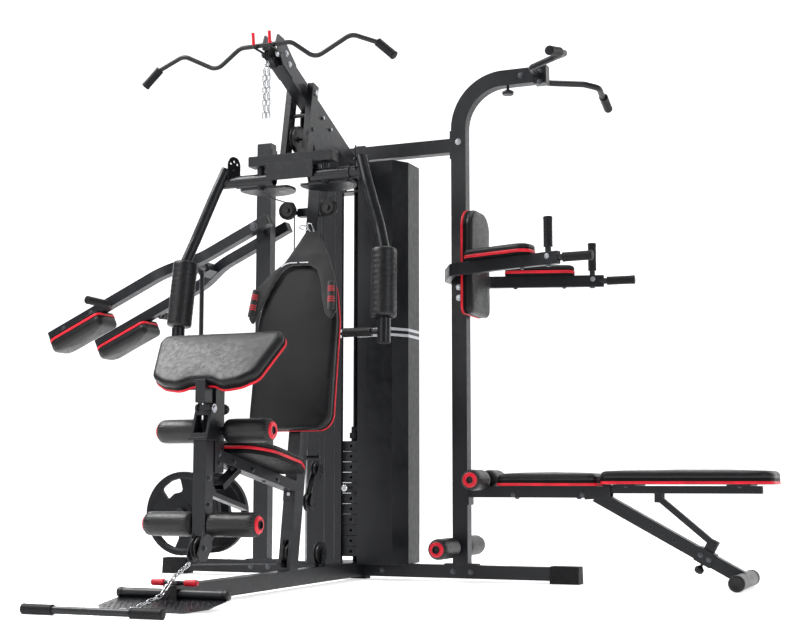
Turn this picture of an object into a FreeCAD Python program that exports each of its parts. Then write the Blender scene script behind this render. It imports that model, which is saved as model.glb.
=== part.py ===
# Multi station home gym: weight stack, press arms, lat boom, leg developer, squat arms with
# hanging plates, dip and knee-raise frame, pull-up bar and adjustable bench.
#
# Frame: origin on the floor under the crossing of the two base beams. +X runs along the cross
# beam towards the bench, the seated user faces -Y, +Z is up. Millimetres.
import FreeCAD
import Part
import math
import os
import re

V = FreeCAD.Vector
doc = FreeCAD.newDocument("home_gym")

# ----------------------------------------------------------------------------------------
# Driving dimensions
# ----------------------------------------------------------------------------------------
DIMENSIONS = {
    # steel sections
    "wall": 2.5, "beam_wide": 50, "beam_deep": 60, "post_wide": 70, "post_deep": 50,
    "plate_thick": 6, "gap": 0.4,
    # base
    "ground_clear": 12, "cross_deep": 54, "cross_left": 950, "cross_right": 955,
    "base_front": 1522, "foot_long": 120,
    # uprights
    "upright_lean": 9.2, "upright_foot_y": 681, "rear_top": 1865,
    "left_post_x": 470.5, "left_post_top": 1920,
    "right_post_x": 460, "right_post_wide": 66, "right_bend_z": 1902, "right_bend_radius": 200,
    "right_boom_end": 794,
    "link_deep": 60, "link_z": 1832,
    # lat boom
    "boom_rise": 23, "boom_rear_z": 1713.7, "boom_deep": 72, "boom_length": 880,
    "press_pivot_run": 614, "boom_pulley_run": 892,
    # stack
    "shroud_front": 120, "shroud_back": 78, "shroud_side": 240, "shroud_low": 68,
    "shroud_high": 1770, "shroud_gap": 37, "sheet_thick": 2,
    "plate_pitch": 44, "plate_high": 42, "plate_across": 300, "plate_fore_aft": 66,
    "stack_y": 68, "stack_low": 96, "rod_radius": 12, "rod_spread": 105, "rod_top": 1735,
    # press frame and arms
    "hanger_wide": 25, "hanger_deep": 50, "hanger_inner": 34, "cross_box_half": 180,
    "cross_box_y": 665, "cross_box_z": 1670, "cross_box_high": 40, "arm_pivot_x": 140,
    "sleeve_radius": 26, "sleeve_z": 1598, "arm_radius": 21, "cam_radius": 112,
    "arm_foam_radius": 48, "arm_foam_long": 264, "handle_radius": 10,
    # seat and front station
    "seat_rise": 10.4, "seat_beam_y": 720, "seat_beam_z": 400, "seat_beam_deep": 40,
    "front_post_y": 1257, "front_post_deep": 60, "front_post_low": 440, "front_post_top": 735,
    "leg_arm_y": 1324, "leg_pivot_y": 1312, "leg_pivot_z": 658, "leg_arm_low": 228,
    "leg_roller_z": 264,
    "upper_roller_z": 583, "roller_radius": 42, "roller_inner": 42, "roller_outer": 218,
    "roller_tube": 15, "preacher_wide": 40, "preacher_low": 680, "preacher_top": 790,
    # pulleys and cables
    "pulley_radius": 54, "small_pulley_radius": 45, "pulley_wide": 20, "axle_radius": 5,
    "cable_radius": 2.5,
    # squat station
    "squat_pivot_z": 1528, "squat_drop": 24.6, "squat_inner_y": 95, "squat_outer_y": 185,
    "squat_arm_size": 45, "disc_radius": 183, "disc_thick": 32, "disc_y": 125,
    "disc_x": 796, "disc_z": 268,
    # dip and knee-raise frame
    "vkr_z": 1267, "vkr_high": 50, "vkr_wide": 25, "vkr_reach": 985,
    # bench
    "bench_rail_z": 366, "bench_pad_z": 392, "bench_pad_thick": 54, "bench_half": 142,
    "bench_hinge_x": 1082, "bench_leg_drop": 28.8,
}
sheet = doc.addObject("Spreadsheet::Sheet", "dims")
for row, (alias, number) in enumerate(DIMENSIONS.items(), start=1):
    sheet.set("A%d" % row, alias.replace("_", " "))
    sheet.set("B%d" % row, str(number))
    sheet.setAlias("B%d" % row, alias)
doc.recompute()


def link(text):
    """An expression in the sheet's aliases, written so that any object can use it."""
    return re.sub(r"[a-z][a-z_]+", lambda m: "dims." + m.group() if m.group() in DIMENSIONS
                  else m.group(), str(text))


def num(text):
    """The value, in millimetres or degrees, of an expression in the sheet's aliases."""
    if isinstance(text, (int, float)):
        return float(text)
    return float(sheet.evalExpression(link(text)))


def bind(obj, prop, text):
    """Set a property from an expression, and keep it bound to the sheet."""
    obj.setExpression(prop, link(text))


def place(obj, at, x_dir=(1, 0, 0), z_dir=(0, 0, 1)):
    """Put an object's origin at a point, with its own X and Z along two directions."""
    z_axis = V(*z_dir).normalize()
    y_axis = z_axis.cross(V(*x_dir)).normalize()
    turn = FreeCAD.Rotation(y_axis.cross(z_axis), y_axis, z_axis, "ZXY")
    obj.Placement = FreeCAD.Placement(V(*[num(c) for c in at]), turn)
    for axis, text in zip("xyz", at):
        if isinstance(text, str):
            bind(obj, "Placement.Base." + axis, text)
    return obj


# ----------------------------------------------------------------------------------------
# Builders
# ----------------------------------------------------------------------------------------
def box(name, size, at, x_dir=(1, 0, 0), z_dir=(0, 0, 1)):
    """A block from its low corner."""
    obj = doc.addObject("Part::Box", name)
    for prop, text in zip(("Length", "Width", "Height"), size):
        bind(obj, prop, text)
    return place(obj, at, x_dir, z_dir)


def rod(name, radius, length, at, z_dir=(0, 0, 1)):
    """A round bar from the centre of one end."""
    obj = doc.addObject("Part::Cylinder", name)
    bind(obj, "Radius", radius)
    bind(obj, "Height", length)
    side = (1, 0, 0) if abs(V(*z_dir).normalize().x) < 0.9 else (0, 1, 0)
    return place(obj, at, side, z_dir)


def origin_plane(body, role):
    return next(f for f in body.Origin.OriginFeatures if f.Role == role)


def new_sketch(body, name, role="XY_Plane"):
    sketch = body.newObject("Sketcher::SketchObject", name)
    sketch.AttachmentSupport = (origin_plane(body, role), [""])
    sketch.MapMode = "FlatFace"
    return sketch


def add_rectangle(sketch, wide, deep, tag):
    """A rectangle centred on the sketch's origin, held by two bound dimensions."""
    first = sketch.GeometryCount
    x, y = num(wide) / 2, num(deep) / 2
    corners = [V(-x, -y, 0), V(x, -y, 0), V(x, y, 0), V(-x, y, 0)]
    for i in range(4):
        sketch.addGeometry(Part.LineSegment(corners[i], corners[(i + 1) % 4]), False)
    import Sketcher
    for i in range(4):
        sketch.addConstraint(Sketcher.Constraint("Coincident", first + i, 2,
                                                 first + (i + 1) % 4, 1))
    for i, kind in enumerate(("Horizontal", "Vertical", "Horizontal", "Vertical")):
        sketch.addConstraint(Sketcher.Constraint(kind, first + i))
    sketch.addConstraint(Sketcher.Constraint("Symmetric", first, 1, first + 1, 2, -1, 1))
    for kind, line, text, side in (("DistanceX", first, wide, "wide"),
                                   ("DistanceY", first + 1, deep, "deep")):
        index = sketch.addConstraint(Sketcher.Constraint(kind, line, 1, line, 2, num(text)))
        sketch.renameConstraint(index, side + tag)
        bind(sketch, "Constraints." + side + tag, text)


def add_circle(sketch, radius, tag, centre=(0, 0)):
    """A circle with a bound radius."""
    import Sketcher
    index = sketch.addGeometry(Part.Circle(V(centre[0], centre[1], 0), V(0, 0, 1), num(radius)),
                               False)
    sketch.addConstraint(Sketcher.Constraint("DistanceX", index, 3, centre[0]))
    sketch.addConstraint(Sketcher.Constraint("DistanceY", index, 3, centre[1]))
    held = sketch.addConstraint(Sketcher.Constraint("Radius", index, num(radius)))
    sketch.renameConstraint(held, "radius" + tag)
    bind(sketch, "Constraints.radius" + tag, radius)


def pad(body, sketch, length):
    feature = body.newObject("PartDesign::Pad", body.Name + "_pad")
    feature.Profile = sketch
    sketch.Visibility = False
    bind(feature, "Length", length)
    return feature


def box_tube(name, wide, deep, length, at, x_dir=(1, 0, 0), z_dir=(0, 0, 1), wall="wall"):
    """A square-cut rectangular tube: wide along x_dir, padded along z_dir."""
    body = doc.addObject("PartDesign::Body", name)
    sketch = new_sketch(body, name + "_section")
    add_rectangle(sketch, wide, deep, "_out")
    add_rectangle(sketch, "%s - 2 * %s" % (wide, wall), "%s - 2 * %s" % (deep, wall), "_in")
    pad(body, sketch, length)
    return place(body, at, x_dir, z_dir)


def box_tube_between(name, wide, deep, start, end, x_dir=(1, 0, 0)):
    """A square-cut rectangular tube whose centre line joins two points."""
    first = V(*[num(c) for c in start])
    run = V(*[num(c) for c in end]) - first
    return box_tube(name, wide, deep, run.Length, start, x_dir, tuple(run))


def ring(name, outer, inner, length, at, z_dir=(0, 0, 1)):
    """A round tube, sleeve, roller or washer from the centre of one end."""
    body = doc.addObject("PartDesign::Body", name)
    sketch = new_sketch(body, name + "_section")
    add_circle(sketch, outer, "_out")
    add_circle(sketch, inner, "_in")
    pad(body, sketch, length)
    side = (1, 0, 0) if abs(V(*z_dir).normalize().x) < 0.9 else (0, 1, 0)
    return place(body, at, side, z_dir)


def rounded(points, radius):
    """A closed outline through the points, each corner rounded by its radius."""
    radii = radius if isinstance(radius, (list, tuple)) else [radius] * len(points)
    corners = [V(p[0], p[1], 0) for p in points]
    stops = []
    for i, corner in enumerate(corners):
        before = (corners[i - 1] - corner).normalize()
        after = (corners[(i + 1) % len(corners)] - corner).normalize()
        half = before.getAngle(after) / 2
        if radii[i] <= 0 or half > math.pi / 2 - 1e-4:
            stops.append((corner, None, corner))
            continue
        back = radii[i] / math.tan(half)
        middle = corner + (before + after).normalize() * (radii[i] / math.sin(half) - radii[i])
        stops.append((corner + before * back, middle, corner + after * back))
    curves = []
    for i, (start, middle, end) in enumerate(stops):
        if middle is not None:
            curves.append(Part.Arc(start, middle, end))
        following = stops[(i + 1) % len(stops)][0]
        if (following - end).Length > 1e-6:
            curves.append(Part.LineSegment(end, following))
    return curves


def slab(name, outline, thick, at, x_dir=(1, 0, 0), z_dir=(0, 0, 1), corner=0, holes=()):
    """A flat piece: an outline with rounded corners, padded, with round holes (x, y, radius)."""
    body = doc.addObject("PartDesign::Body", name)
    sketch = new_sketch(body, name + "_outline")
    for curve in rounded([(num(x), num(y)) for x, y in outline], corner):
        sketch.addGeometry(curve, False)
    for x, y, radius in holes:
        sketch.addGeometry(Part.Circle(V(num(x), num(y), 0), V(0, 0, 1), num(radius)), False)
    pad(body, sketch, thick)
    return place(body, at, x_dir, z_dir)


def turned(name, half_section, at, z_dir):
    """A turned piece: (radius, height) points revolved about its own Z."""
    body = doc.addObject("PartDesign::Body", name)
    sketch = new_sketch(body, name + "_half", "XZ_Plane")
    for curve in rounded(half_section, 0):
        sketch.addGeometry(curve, False)
    feature = body.newObject("PartDesign::Revolution", name + "_turn")
    feature.Profile = sketch
    feature.ReferenceAxis = (sketch, ["V_Axis"])
    feature.Angle = 360
    sketch.Visibility = False
    side = (1, 0, 0) if abs(V(*z_dir).normalize().x) < 0.9 else (0, 1, 0)
    return place(body, at, side, z_dir)


def bent_path(points, bend):
    """An open wire of straight runs joined by tangent arcs."""
    stops = [V(*[num(c) for c in p]) for p in points]
    radii = bend if isinstance(bend, (list, tuple)) else [bend] * (len(stops) - 2)
    edges = []
    here = stops[0]
    for i in range(1, len(stops) - 1):
        back = (stops[i - 1] - stops[i]).normalize()
        on = (stops[i + 1] - stops[i]).normalize()
        half = back.getAngle(on) / 2
        cut = radii[i - 1] / math.tan(half)
        middle = stops[i] + (back + on).normalize() * (radii[i - 1] / math.sin(half)
                                                       - radii[i - 1])
        start, end = stops[i] + back * cut, stops[i] + on * cut
        if (start - here).Length > 1e-4:
            edges.append(Part.LineSegment(here, start).toShape())
        edges.append(Part.Arc(start, middle, end).toShape())
        here = end
    if (stops[-1] - here).Length > 1e-4:
        edges.append(Part.LineSegment(here, stops[-1]).toShape())
    return Part.Wire(edges)


def bent_bar(name, radius, points, bend):
    """A round bar swept along straight runs and tangent arcs, in a Part Sweep."""
    path = doc.addObject("Part::Feature", name + "_path")
    path.Shape = bent_path(points, bend)
    section = doc.addObject("Part::Circle", name + "_section")
    bind(section, "Radius", radius)
    run = path.Shape.Edges[0].tangentAt(path.Shape.Edges[0].FirstParameter)
    start = path.Shape.Edges[0].valueAt(path.Shape.Edges[0].FirstParameter)
    section.Placement = FreeCAD.Placement(start, FreeCAD.Rotation(V(0, 0, 1), run))
    sweep = doc.addObject("Part::Sweep", name)
    sweep.Sections = [section]
    sweep.Spine = (path, ["Edge%d" % (i + 1) for i in range(len(path.Shape.Edges))])
    sweep.Solid = True
    sweep.Frenet = False
    return sweep


def bent_tube(name, outer, inner, points, bend):
    """A round tube bent along a path: one sweep cut from another."""
    return cut(name, bent_bar(name + "_outer", outer, points, bend),
               [bent_bar(name + "_bore", inner, points, bend)])


def bent_box(name, wide, high, points, bend, up):
    """A rectangular bar swept along runs and arcs lying in the plane square to up."""
    path = doc.addObject("Part::Feature", name + "_path")
    path.Shape = bent_path(points, bend)
    run = V(*points[1]) - V(*points[0])
    run.normalize()
    across = V(*up).cross(run)
    section = doc.addObject("Part::Plane", name + "_section")
    bind(section, "Length", wide)
    bind(section, "Width", high)
    corner = V(*points[0]) - across * (num(wide) / 2) - V(*up) * (num(high) / 2)
    place(section, tuple(corner), tuple(across), tuple(run))
    sweep = doc.addObject("Part::Sweep", name)
    sweep.Sections = [section]
    sweep.Spine = (path, ["Edge%d" % (i + 1) for i in range(len(path.Shape.Edges))])
    sweep.Solid = True
    return sweep


def bent_box_tube(name, wide, high, points, bend, up):
    """A rectangular tube bent along a path."""
    inner = bent_box(name + "_bore", "%s - 2 * wall" % wide, "%s - 2 * wall" % high, points,
                     bend, up)
    return cut(name, bent_box(name + "_outer", wide, high, points, bend, up), [inner])


def shared(name, one, two):
    """What two solids have in common: a plan outline met with a side outline."""
    obj = doc.addObject("Part::Common", name)
    obj.Base = one
    obj.Tool = two
    return obj


def fuse(name, pieces):
    obj = doc.addObject("Part::MultiFuse", name)
    obj.Shapes = pieces
    return obj


def gather(name, pieces):
    """Separate solids kept in one node."""
    obj = doc.addObject("Part::Compound", name)
    obj.Links = pieces
    return obj


def cut(name, base, tools):
    """The base less one tool, or less several joined tools."""
    obj = doc.addObject("Part::Cut", name)
    obj.Base = base
    obj.Tool = tools[0] if len(tools) == 1 else fuse(name + "_tools", tools)
    return obj


def bolt(name, at, axis, grip, head=8, shank=4.8):
    """A hexagon bolt and nut whose shank fills a drilled hole over the grip length."""
    hexagon = [(head * math.cos(k * math.pi / 3), head * math.sin(k * math.pi / 3))
               for k in range(6)]
    way = V(*axis).normalize()
    start = V(*[num(c) for c in at])
    far = start + way * grip
    side = (1, 0, 0) if abs(way.x) < 0.9 else (0, 1, 0)
    return [slab(name + "_head", hexagon, 6, tuple(start - way * 6), side, tuple(way)),
            rod(name + "_shank", shank, grip, tuple(start), tuple(way)),
            slab(name + "_nut", hexagon, 7, tuple(far), side, tuple(way))]


def drill(name, base, holes, radius=5.2):
    """The base with round holes: each hole is a point, an axis and a depth."""
    tools = []
    for i, (at, axis, depth) in enumerate(holes):
        way = V(*axis).normalize()
        start = V(*[num(c) for c in at]) - way * 2
        tools.append(rod("%s_hole%d" % (name, i), radius, depth + 4, tuple(start), tuple(way)))
    return cut(name, base, tools)


# ----------------------------------------------------------------------------------------
# Shared places worked out from the sheet
# ----------------------------------------------------------------------------------------
lean = math.radians(num("upright_lean"))
upright_way = V(0, math.sin(lean), math.cos(lean))
upright_face = V(0, -math.cos(lean), math.sin(lean))
base_top = num("ground_clear + beam_deep")
cross_top = num("ground_clear + cross_deep")


def upright_at(z, off=0.0, x=0.0):
    """A point on the main upright's centre line, or that far in front of it."""
    run = (z - base_top) / math.cos(lean)
    foot = V(x, -num("upright_foot_y"), base_top)
    return foot + upright_way * run + upright_face * off


rise = math.radians(num("boom_rise"))
boom_way = V(0, -math.cos(rise), math.sin(rise))
boom_up = V(0, math.sin(rise), math.cos(rise))
boom_rear = V(0, -25, num("boom_rear_z"))


def boom_at(run, up=0.0, x=0.0):
    """A point along the lat boom from its rear end, and above its centre line."""
    return boom_rear + boom_way * run + boom_up * up + V(x, 0, 0)


seat_tilt = math.radians(num("seat_rise"))
seat_way = V(0, -math.cos(seat_tilt), math.sin(seat_tilt))
seat_up = V(0, math.sin(seat_tilt), math.cos(seat_tilt))
squat_fall = math.radians(num("squat_drop"))
squat_way = V(-math.cos(squat_fall), 0, -math.sin(squat_fall))
squat_up = V(-math.sin(squat_fall), 0, math.cos(squat_fall))
squat_pivot = V(-num("left_post_x"), 0, num("squat_pivot_z"))
leg_fall = math.radians(num("bench_leg_drop"))
leg_way = V(math.cos(leg_fall), 0, -math.sin(leg_fall))
leg_up = V(math.sin(leg_fall), 0, math.cos(leg_fall))
NODES = []


def node(obj):
    """Register a sub-part: its label names its file."""
    NODES.append(obj)
    return obj


# ----------------------------------------------------------------------------------------
# Base and uprights
# ----------------------------------------------------------------------------------------
node(drill("main_base_beam", box_tube("base_beam_tube", "beam_wide", "beam_deep",
                                      "base_front - beam_wide / 2",
                                      (0, "-beam_wide / 2", "ground_clear + beam_deep / 2"),
                                      z_dir=(0, -1, 0)), [((-25, -1503, 44), (1, 0, 0), 50)],
           16.2))
node(box_tube("cross_base_beam", "beam_wide", "cross_deep", "cross_left + cross_right",
              ("-cross_left", 0, "ground_clear + cross_deep / 2"), (0, 1, 0), (1, 0, 0)))


left_pocket = box("left_foot_pocket", ("foot_long", "beam_wide", "cross_deep"),
                  ("-cross_left", "-beam_wide / 2", "ground_clear"))
left_block = slab("left_foot_block", [(-36, 0), (36, 0), (30, 70), (-30, 70)], "foot_long",
                  ("-cross_left - 8", 0, 0), (0, 1, 0), (1, 0, 0), corner=3)
right_pocket = box("right_foot_pocket", ("foot_long", "beam_wide", "cross_deep"),
                   ("cross_right - foot_long", "-beam_wide / 2", "ground_clear"))
right_block = slab("right_foot_block", [(-36, 0), (36, 0), (30, 70), (-30, 70)], "foot_long",
                   ("cross_right - foot_long + 8", 0, 0), (0, 1, 0), (1, 0, 0), corner=3)
centre_foot = box("centre_foot", (70, "beam_wide", "ground_clear"), (-35, "-beam_wide / 2", 0))
front_foot = box("front_foot", ("beam_wide", 90, "ground_clear"), ("-beam_wide / 2", -1515, 0))
node(gather("rubber_feet", [cut("left_foot", left_block, [left_pocket]),
                            cut("right_foot", right_block, [right_pocket]),
                            centre_foot, front_foot]))

boom_space = box("boom_space", (60, 1000, 200), tuple(boom_at(900, -num("boom_deep") / 2)
                 + V(-30, 0, 0)), (1, 0, 0), tuple(boom_up))
upright_blank = box_tube("upright_blank", "beam_wide", 70, 1900,
                         tuple(upright_at(base_top - 30)), z_dir=tuple(upright_way))
upright_floor = box("upright_floor", (80, 300, 100), (-40, -850, base_top - 100))
pulley_slot = box("pulley_slot", (24, 300, 104), (-12, -820, 84))
gusset_bolts = [(boom_at(390, -14), 1), (boom_at(470, -14), 1),
                (upright_at(1745), 1), (upright_at(1665), 1)]
gusset_holes = [(p + V(-25, 0, 0), (1, 0, 0), 50) for p, _ in gusset_bolts]
node(drill("main_upright", cut("upright_trimmed", upright_blank,
                               [boom_space, upright_floor, pulley_slot]),
           gusset_holes[2:] + [(upright_at(353, 37), tuple(-upright_face), 74)]))

boom_blank = box_tube("boom_blank", "beam_wide", "boom_deep", "boom_length",
                      tuple(boom_at(-40)), z_dir=tuple(boom_way))
boom_wall = box("boom_wall", (80, 100, 300), (-40, "-beam_wide / 2", 1560))
boom_entry = rod("boom_entry", 9, 90, (0, "-stack_y", 1640))
press_pivot = boom_at(num("press_pivot_run"))
node(drill("lat_boom", cut("boom_trimmed", boom_blank, [boom_wall, boom_entry]),
           gusset_holes[:2] + [(press_pivot + V(-25, 0, 0), (1, 0, 0), 50)], 8.0))

rear_post = box_tube("rear_post", "beam_wide", "beam_wide", "rear_top - %g" % cross_top,
                     (0, 0, cross_top))
post_face = num("left_post_x - post_wide / 2")
right_face = num("right_post_x - right_post_wide / 2")
left_link = box_tube("left_link", "beam_wide", "link_deep", post_face - 25 - 6,
                     (-25, 0, "link_z"), (0, 1, 0), (-1, 0, 0))
right_link = box_tube("right_link", "beam_wide", "link_deep", right_face - 25 - 6,
                      (25, 0, "link_z"), (0, 1, 0), (1, 0, 0))
node(fuse("rear_frame", [rear_post, left_link, right_link]))

left_blank = box_tube("left_post_blank", "post_wide", "post_deep",
                      "left_post_top - %g" % (cross_top + 6), ("-left_post_x", 0, cross_top + 6))
node(drill("left_post", left_blank, [(squat_pivot + V(0, -25, 0), (0, 1, 0), 50)], 10.06))

right_body = doc.addObject("PartDesign::Body", "right_post_tube")
right_section = new_sketch(right_body, "right_post_section")
add_rectangle(right_section, "right_post_wide", "post_deep", "_out")
add_rectangle(right_section, "right_post_wide - 2 * wall", "post_deep - 2 * wall", "_in")
right_spine = new_sketch(right_body, "right_post_spine", "XZ_Plane")
bend_start = num("right_bend_z") - cross_top - 6
bend_radius = num("right_bend_radius")
boom_run = num("right_boom_end - right_post_x")
right_spine.addGeometry(Part.LineSegment(V(0, 0, 0), V(0, bend_start, 0)), False)
right_spine.addGeometry(Part.Arc(
    V(0, bend_start, 0),
    V(bend_radius * (1 - math.sqrt(0.5)), bend_start + bend_radius * math.sqrt(0.5), 0),
    V(bend_radius, bend_start + bend_radius, 0)), False)
right_spine.addGeometry(Part.LineSegment(V(bend_radius, bend_start + bend_radius, 0),
                                         V(boom_run, bend_start + bend_radius, 0)), False)
right_pipe = right_body.newObject("PartDesign::AdditivePipe", "right_post_pipe")
right_pipe.Profile = right_section
right_pipe.Spine = (right_spine, ["Edge1", "Edge2", "Edge3"])
place(right_body, ("right_post_x", 0, cross_top + 6))
pullup_z = num("right_bend_z + right_bend_radius")
ankle_hole = rod("ankle_hole", "roller_tube", 60, (440, -30, 138), (0, 1, 0))
ankle_tube = ring("ankle_tube", "roller_tube", "roller_tube - 2", 510, (440, -255, 138), (0, 1, 0))
clamp_screw = rod("clamp_screw", 6, 14, (676, 0, pullup_z - 47))
clamp_knob = turned("clamp_knob", [(0, 0), (22, 2), (25, 9), (24, 16), (8, 24), (0, 24)],
                    (676, 0, pullup_z - 71), (0, 0, 1))
node(gather("right_post", [cut("right_post_drilled", right_body, [ankle_hole]), ankle_tube,
                           clamp_screw, clamp_knob]))

# ----------------------------------------------------------------------------------------
# Weight stack and its two-part shroud
# ----------------------------------------------------------------------------------------


def strip(points, thick):
    """A closed outline as wide as a sheet, along the left of a run of corners."""
    line = [V(x, y, 0) for x, y in points]
    offset = []
    for i, here in enumerate(line):
        before = (here - line[i - 1]).normalize() if i else None
        after = (line[i + 1] - here).normalize() if i + 1 < len(line) else None
        one = before or after
        two = after or before
        side = (V(-one.y, one.x, 0) + V(-two.y, two.x, 0))
        side = side / side.dot(V(-one.y, one.x, 0))
        offset.append(here + side * thick)
    outline = line + offset[::-1]
    return [(p.x, p.y) for p in outline]


front, back, side = (num("shroud_front"), num("shroud_back"), num("shroud_side"))
inner = num("shroud_gap")
shroud_run = [(inner, 16 - front), (inner, -front), (196, -front), (side, -48), (side, back),
              (120, back)]
sheet_thick = num("sheet_thick")
node(slab("shroud_right", strip(shroud_run, sheet_thick), "shroud_high - shroud_low",
          (0, 0, "shroud_low")))
node(slab("shroud_left", strip([(-x, y) for x, y in shroud_run], -sheet_thick),
          "shroud_high - shroud_low", (0, 0, "shroud_low")))

stack_floor = cross_top + 6
node(gather("guide_rods", [rod("guide_rod_%d" % i, "rod_radius", 1650 - stack_floor,
                               (x, "-stack_y", stack_floor))
                           for i, x in enumerate(("-rod_spread", "rod_spread"))]))


def weight_plate(index):
    """One cast plate with its two rod bores, its stem bore and its selector hole."""
    low = "stack_low + %d * plate_pitch" % index
    wide, deep = num("plate_across") / 2, num("plate_fore_aft") / 2
    spread = num("rod_spread")
    cast = slab("plate_%d_cast" % index,
                [(-wide, -deep), (wide, -deep), (wide, deep), (-wide, deep)], "plate_high",
                (0, "-stack_y", low), corner=6,
                holes=[(-spread, 0, 13), (spread, 0, 13), (0, 0, 13.5)])
    hole = rod("plate_%d_hole" % index, 6, 40, (0, "-stack_y - 40", low + " + plate_high / 2"),
               (0, 1, 0))
    return cut("plate_%d" % index, cast, [hole])


PLATES = 11
PINNED = 6
node(gather("resting_weight_plates",
            [weight_plate(i) for i in range(PINNED)]
            + [ring("stack_bumper_%d" % i, 24, 12.4, "stack_low - %g" % stack_floor,
                    (x, "-stack_y", stack_floor)) for i, x in
               enumerate(("-rod_spread", "rod_spread"))]))
stem_low = num("stack_low + %d * plate_pitch" % PINNED)
stem_top = num("stack_low + %d * plate_pitch" % PLATES) + 60
pin_z = stem_low + num("plate_high / 2")
stem = ring("stem_tube", 12.5, 4.5, stem_top - 110, (0, "-stack_y", 110))
stem_hole = rod("stem_hole", 5.6, 26, (0, "-stack_y - 18", pin_z), (0, 1, 0))
stem_collar = ring("stem_collar", 20, 12.5, 24, (0, "-stack_y", stem_top - 50))
node(gather("lifted_weight_plates", [weight_plate(i) for i in range(PINNED, PLATES)]
            + [cut("selector_stem", stem, [stem_hole]), stem_collar]))
pin_rod = rod("pin_rod", 5, 84, (0, "-stack_y - 80", pin_z), (0, 1, 0))
pin_knob = turned("pin_knob", [(0, 0), (10, 0), (14, 4), (14, 22), (10, 26), (0, 26)],
                  (0, "-stack_y - 80", pin_z), (0, -1, 0))
node(fuse("selector_pin", [pin_rod, pin_knob]))

# ----------------------------------------------------------------------------------------
# Plates that join the frame
# ----------------------------------------------------------------------------------------
joint_plates = []
for sign in (-1, 1):
    joint_plates.append(slab("fork_plate_%d" % sign, [(750, -34), (880, -62), (930, -48),
                                                      (930, -8), (840, 34), (750, 34)], 5,
                             tuple(boom_at(0, 0, 25 if sign > 0 else -30)),
                             (0, -math.cos(rise), math.sin(rise)), (1, 0, 0), corner=6,
                             holes=[(890, -30, "axle_radius")]))
    gusset = slab("gusset_%d" % sign, [(-545, 1905), (-300, 1800), (-345, 1620), (-465, 1620),
                                       (-545, 1760)], 6,
                  (25 if sign > 0 else -31, 0, 0), (0, 1, 0), (1, 0, 0), corner=10)
    joint_plates.append(drill("gusset_drilled_%d" % sign, gusset,
                              [(p + V(25 if sign > 0 else -31, 0, 0), (1, 0, 0), 6)
                               for p, _ in gusset_bolts]))
for name, x, z_low in (("left_flange", -post_face, 1775), ("right_flange", right_face - 6, 1775)):
    joint_plates.append(box(name, (6, "beam_wide", 120), (x, "-beam_wide / 2", z_low)))
for name, x in (("left_base_flange", "-left_post_x"), ("right_base_flange", "right_post_x")):
    joint_plates.append(slab(name, [(-72, -25), (72, -25), (72, 25), (-72, 25)], 6,
                             (x, 0, cross_top), corner=4))
for i, z in enumerate((1150, 1440)):
    joint_plates.append(box("vkr_pad_block_%d" % i, (7.4, 60, 50),
                            ("right_post_x + right_post_wide / 2", -30, z)))
for sign in (-1, 1):
    joint_plates.append(slab("stack_floor_plate_%d" % sign,
                             [(sign * x, y) for x, y in
                              ((237, 75), (237, -45), (194, -117), (41, -117), (41, -102),
                               (26, -102), (26, 75))], 6, (0, 0, cross_top)))
joint_plates.append(box("stack_top_plate", (270, 75, 6), (-135, -100.2, 1650)))
for height in (110, 470):
    at = upright_at(592) + upright_way * height + upright_face * 35
    joint_plates.append(box("backrest_bracket_%d" % height, (120, 40, 13.6),
                            tuple(at + V(-60, 0, 0)), (1, 0, 0), tuple(upright_face)))
top_hole = rod("stack_top_hole", 9, 20, (0, "-stack_y", 1645))
joint_plates[-3] = cut("stack_top_plate_drilled", joint_plates[-3], [top_hole])
node(gather("joint_plates", joint_plates))

# ----------------------------------------------------------------------------------------
# Seat, backrest and front station
# ----------------------------------------------------------------------------------------
seat_ref = V(0, -num("seat_beam_y"), num("seat_beam_z"))


def seat_at(run, off=0.0, x=0.0):
    """A point along the seat beam from its reference, and above its centre line."""
    return seat_ref + seat_way * run + seat_up * off + V(x, 0, 0)


upright_space = box("upright_space", (60, 70, 700), tuple(upright_at(100) + upright_face * 35
                    + V(-30, 0, 0)), (1, 0, 0), tuple(upright_way))
post_front = num("front_post_y")
post_back = post_front - num("front_post_deep") / 2
seat_blank = box_tube("seat_beam_blank", "beam_wide", "seat_beam_deep", 650,
                      tuple(seat_at(-80)), z_dir=tuple(seat_way))
front_space = box("front_space", (60, 200, 300), (-30, -post_back - 200, 350))
seat_bracket = box("seat_bracket", (50, 60, 5), tuple(upright_at(330, 35) + V(-25, 0, 0)),
                   (1, 0, 0), tuple(upright_face))
brace_low, brace_high = V(0, -1214, 388), V(0, -1096, 451)
stop_brace = box_tube_between("stop_brace", 40, 22, tuple(brace_low), tuple(brace_high))
node(fuse("seat_beam", [cut("seat_beam_tube", seat_blank, [upright_space, front_space]),
                        drill("seat_bracket_drilled", seat_bracket,
                              [(upright_at(353, 35), tuple(upright_face), 6)]), stop_brace]))

seat_outline = [(-125, 0), (125, 0), (172, 130), (165, 330), (105, 405), (-105, 405),
                (-165, 330), (-172, 130)]
node(slab("seat_pad", seat_outline, 52, tuple(seat_at(78, num("seat_beam_deep") / 2 + 0.4)),
          (-1, 0, 0), tuple(seat_up), corner=[40, 40, 120, 120, 70, 70, 120, 120]))
backrest_outline = [(-176, 0), (176, 0), (172, 430), (150, 565), (72, 672), (-72, 672),
                    (-150, 565), (-172, 430)]
node(slab("backrest_pad", backrest_outline, 60, tuple(upright_at(592) + upright_face * 49),
          (1, 0, 0), tuple(upright_face), corner=[60, 60, 200, 80, 50, 50, 80, 200]))

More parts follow.
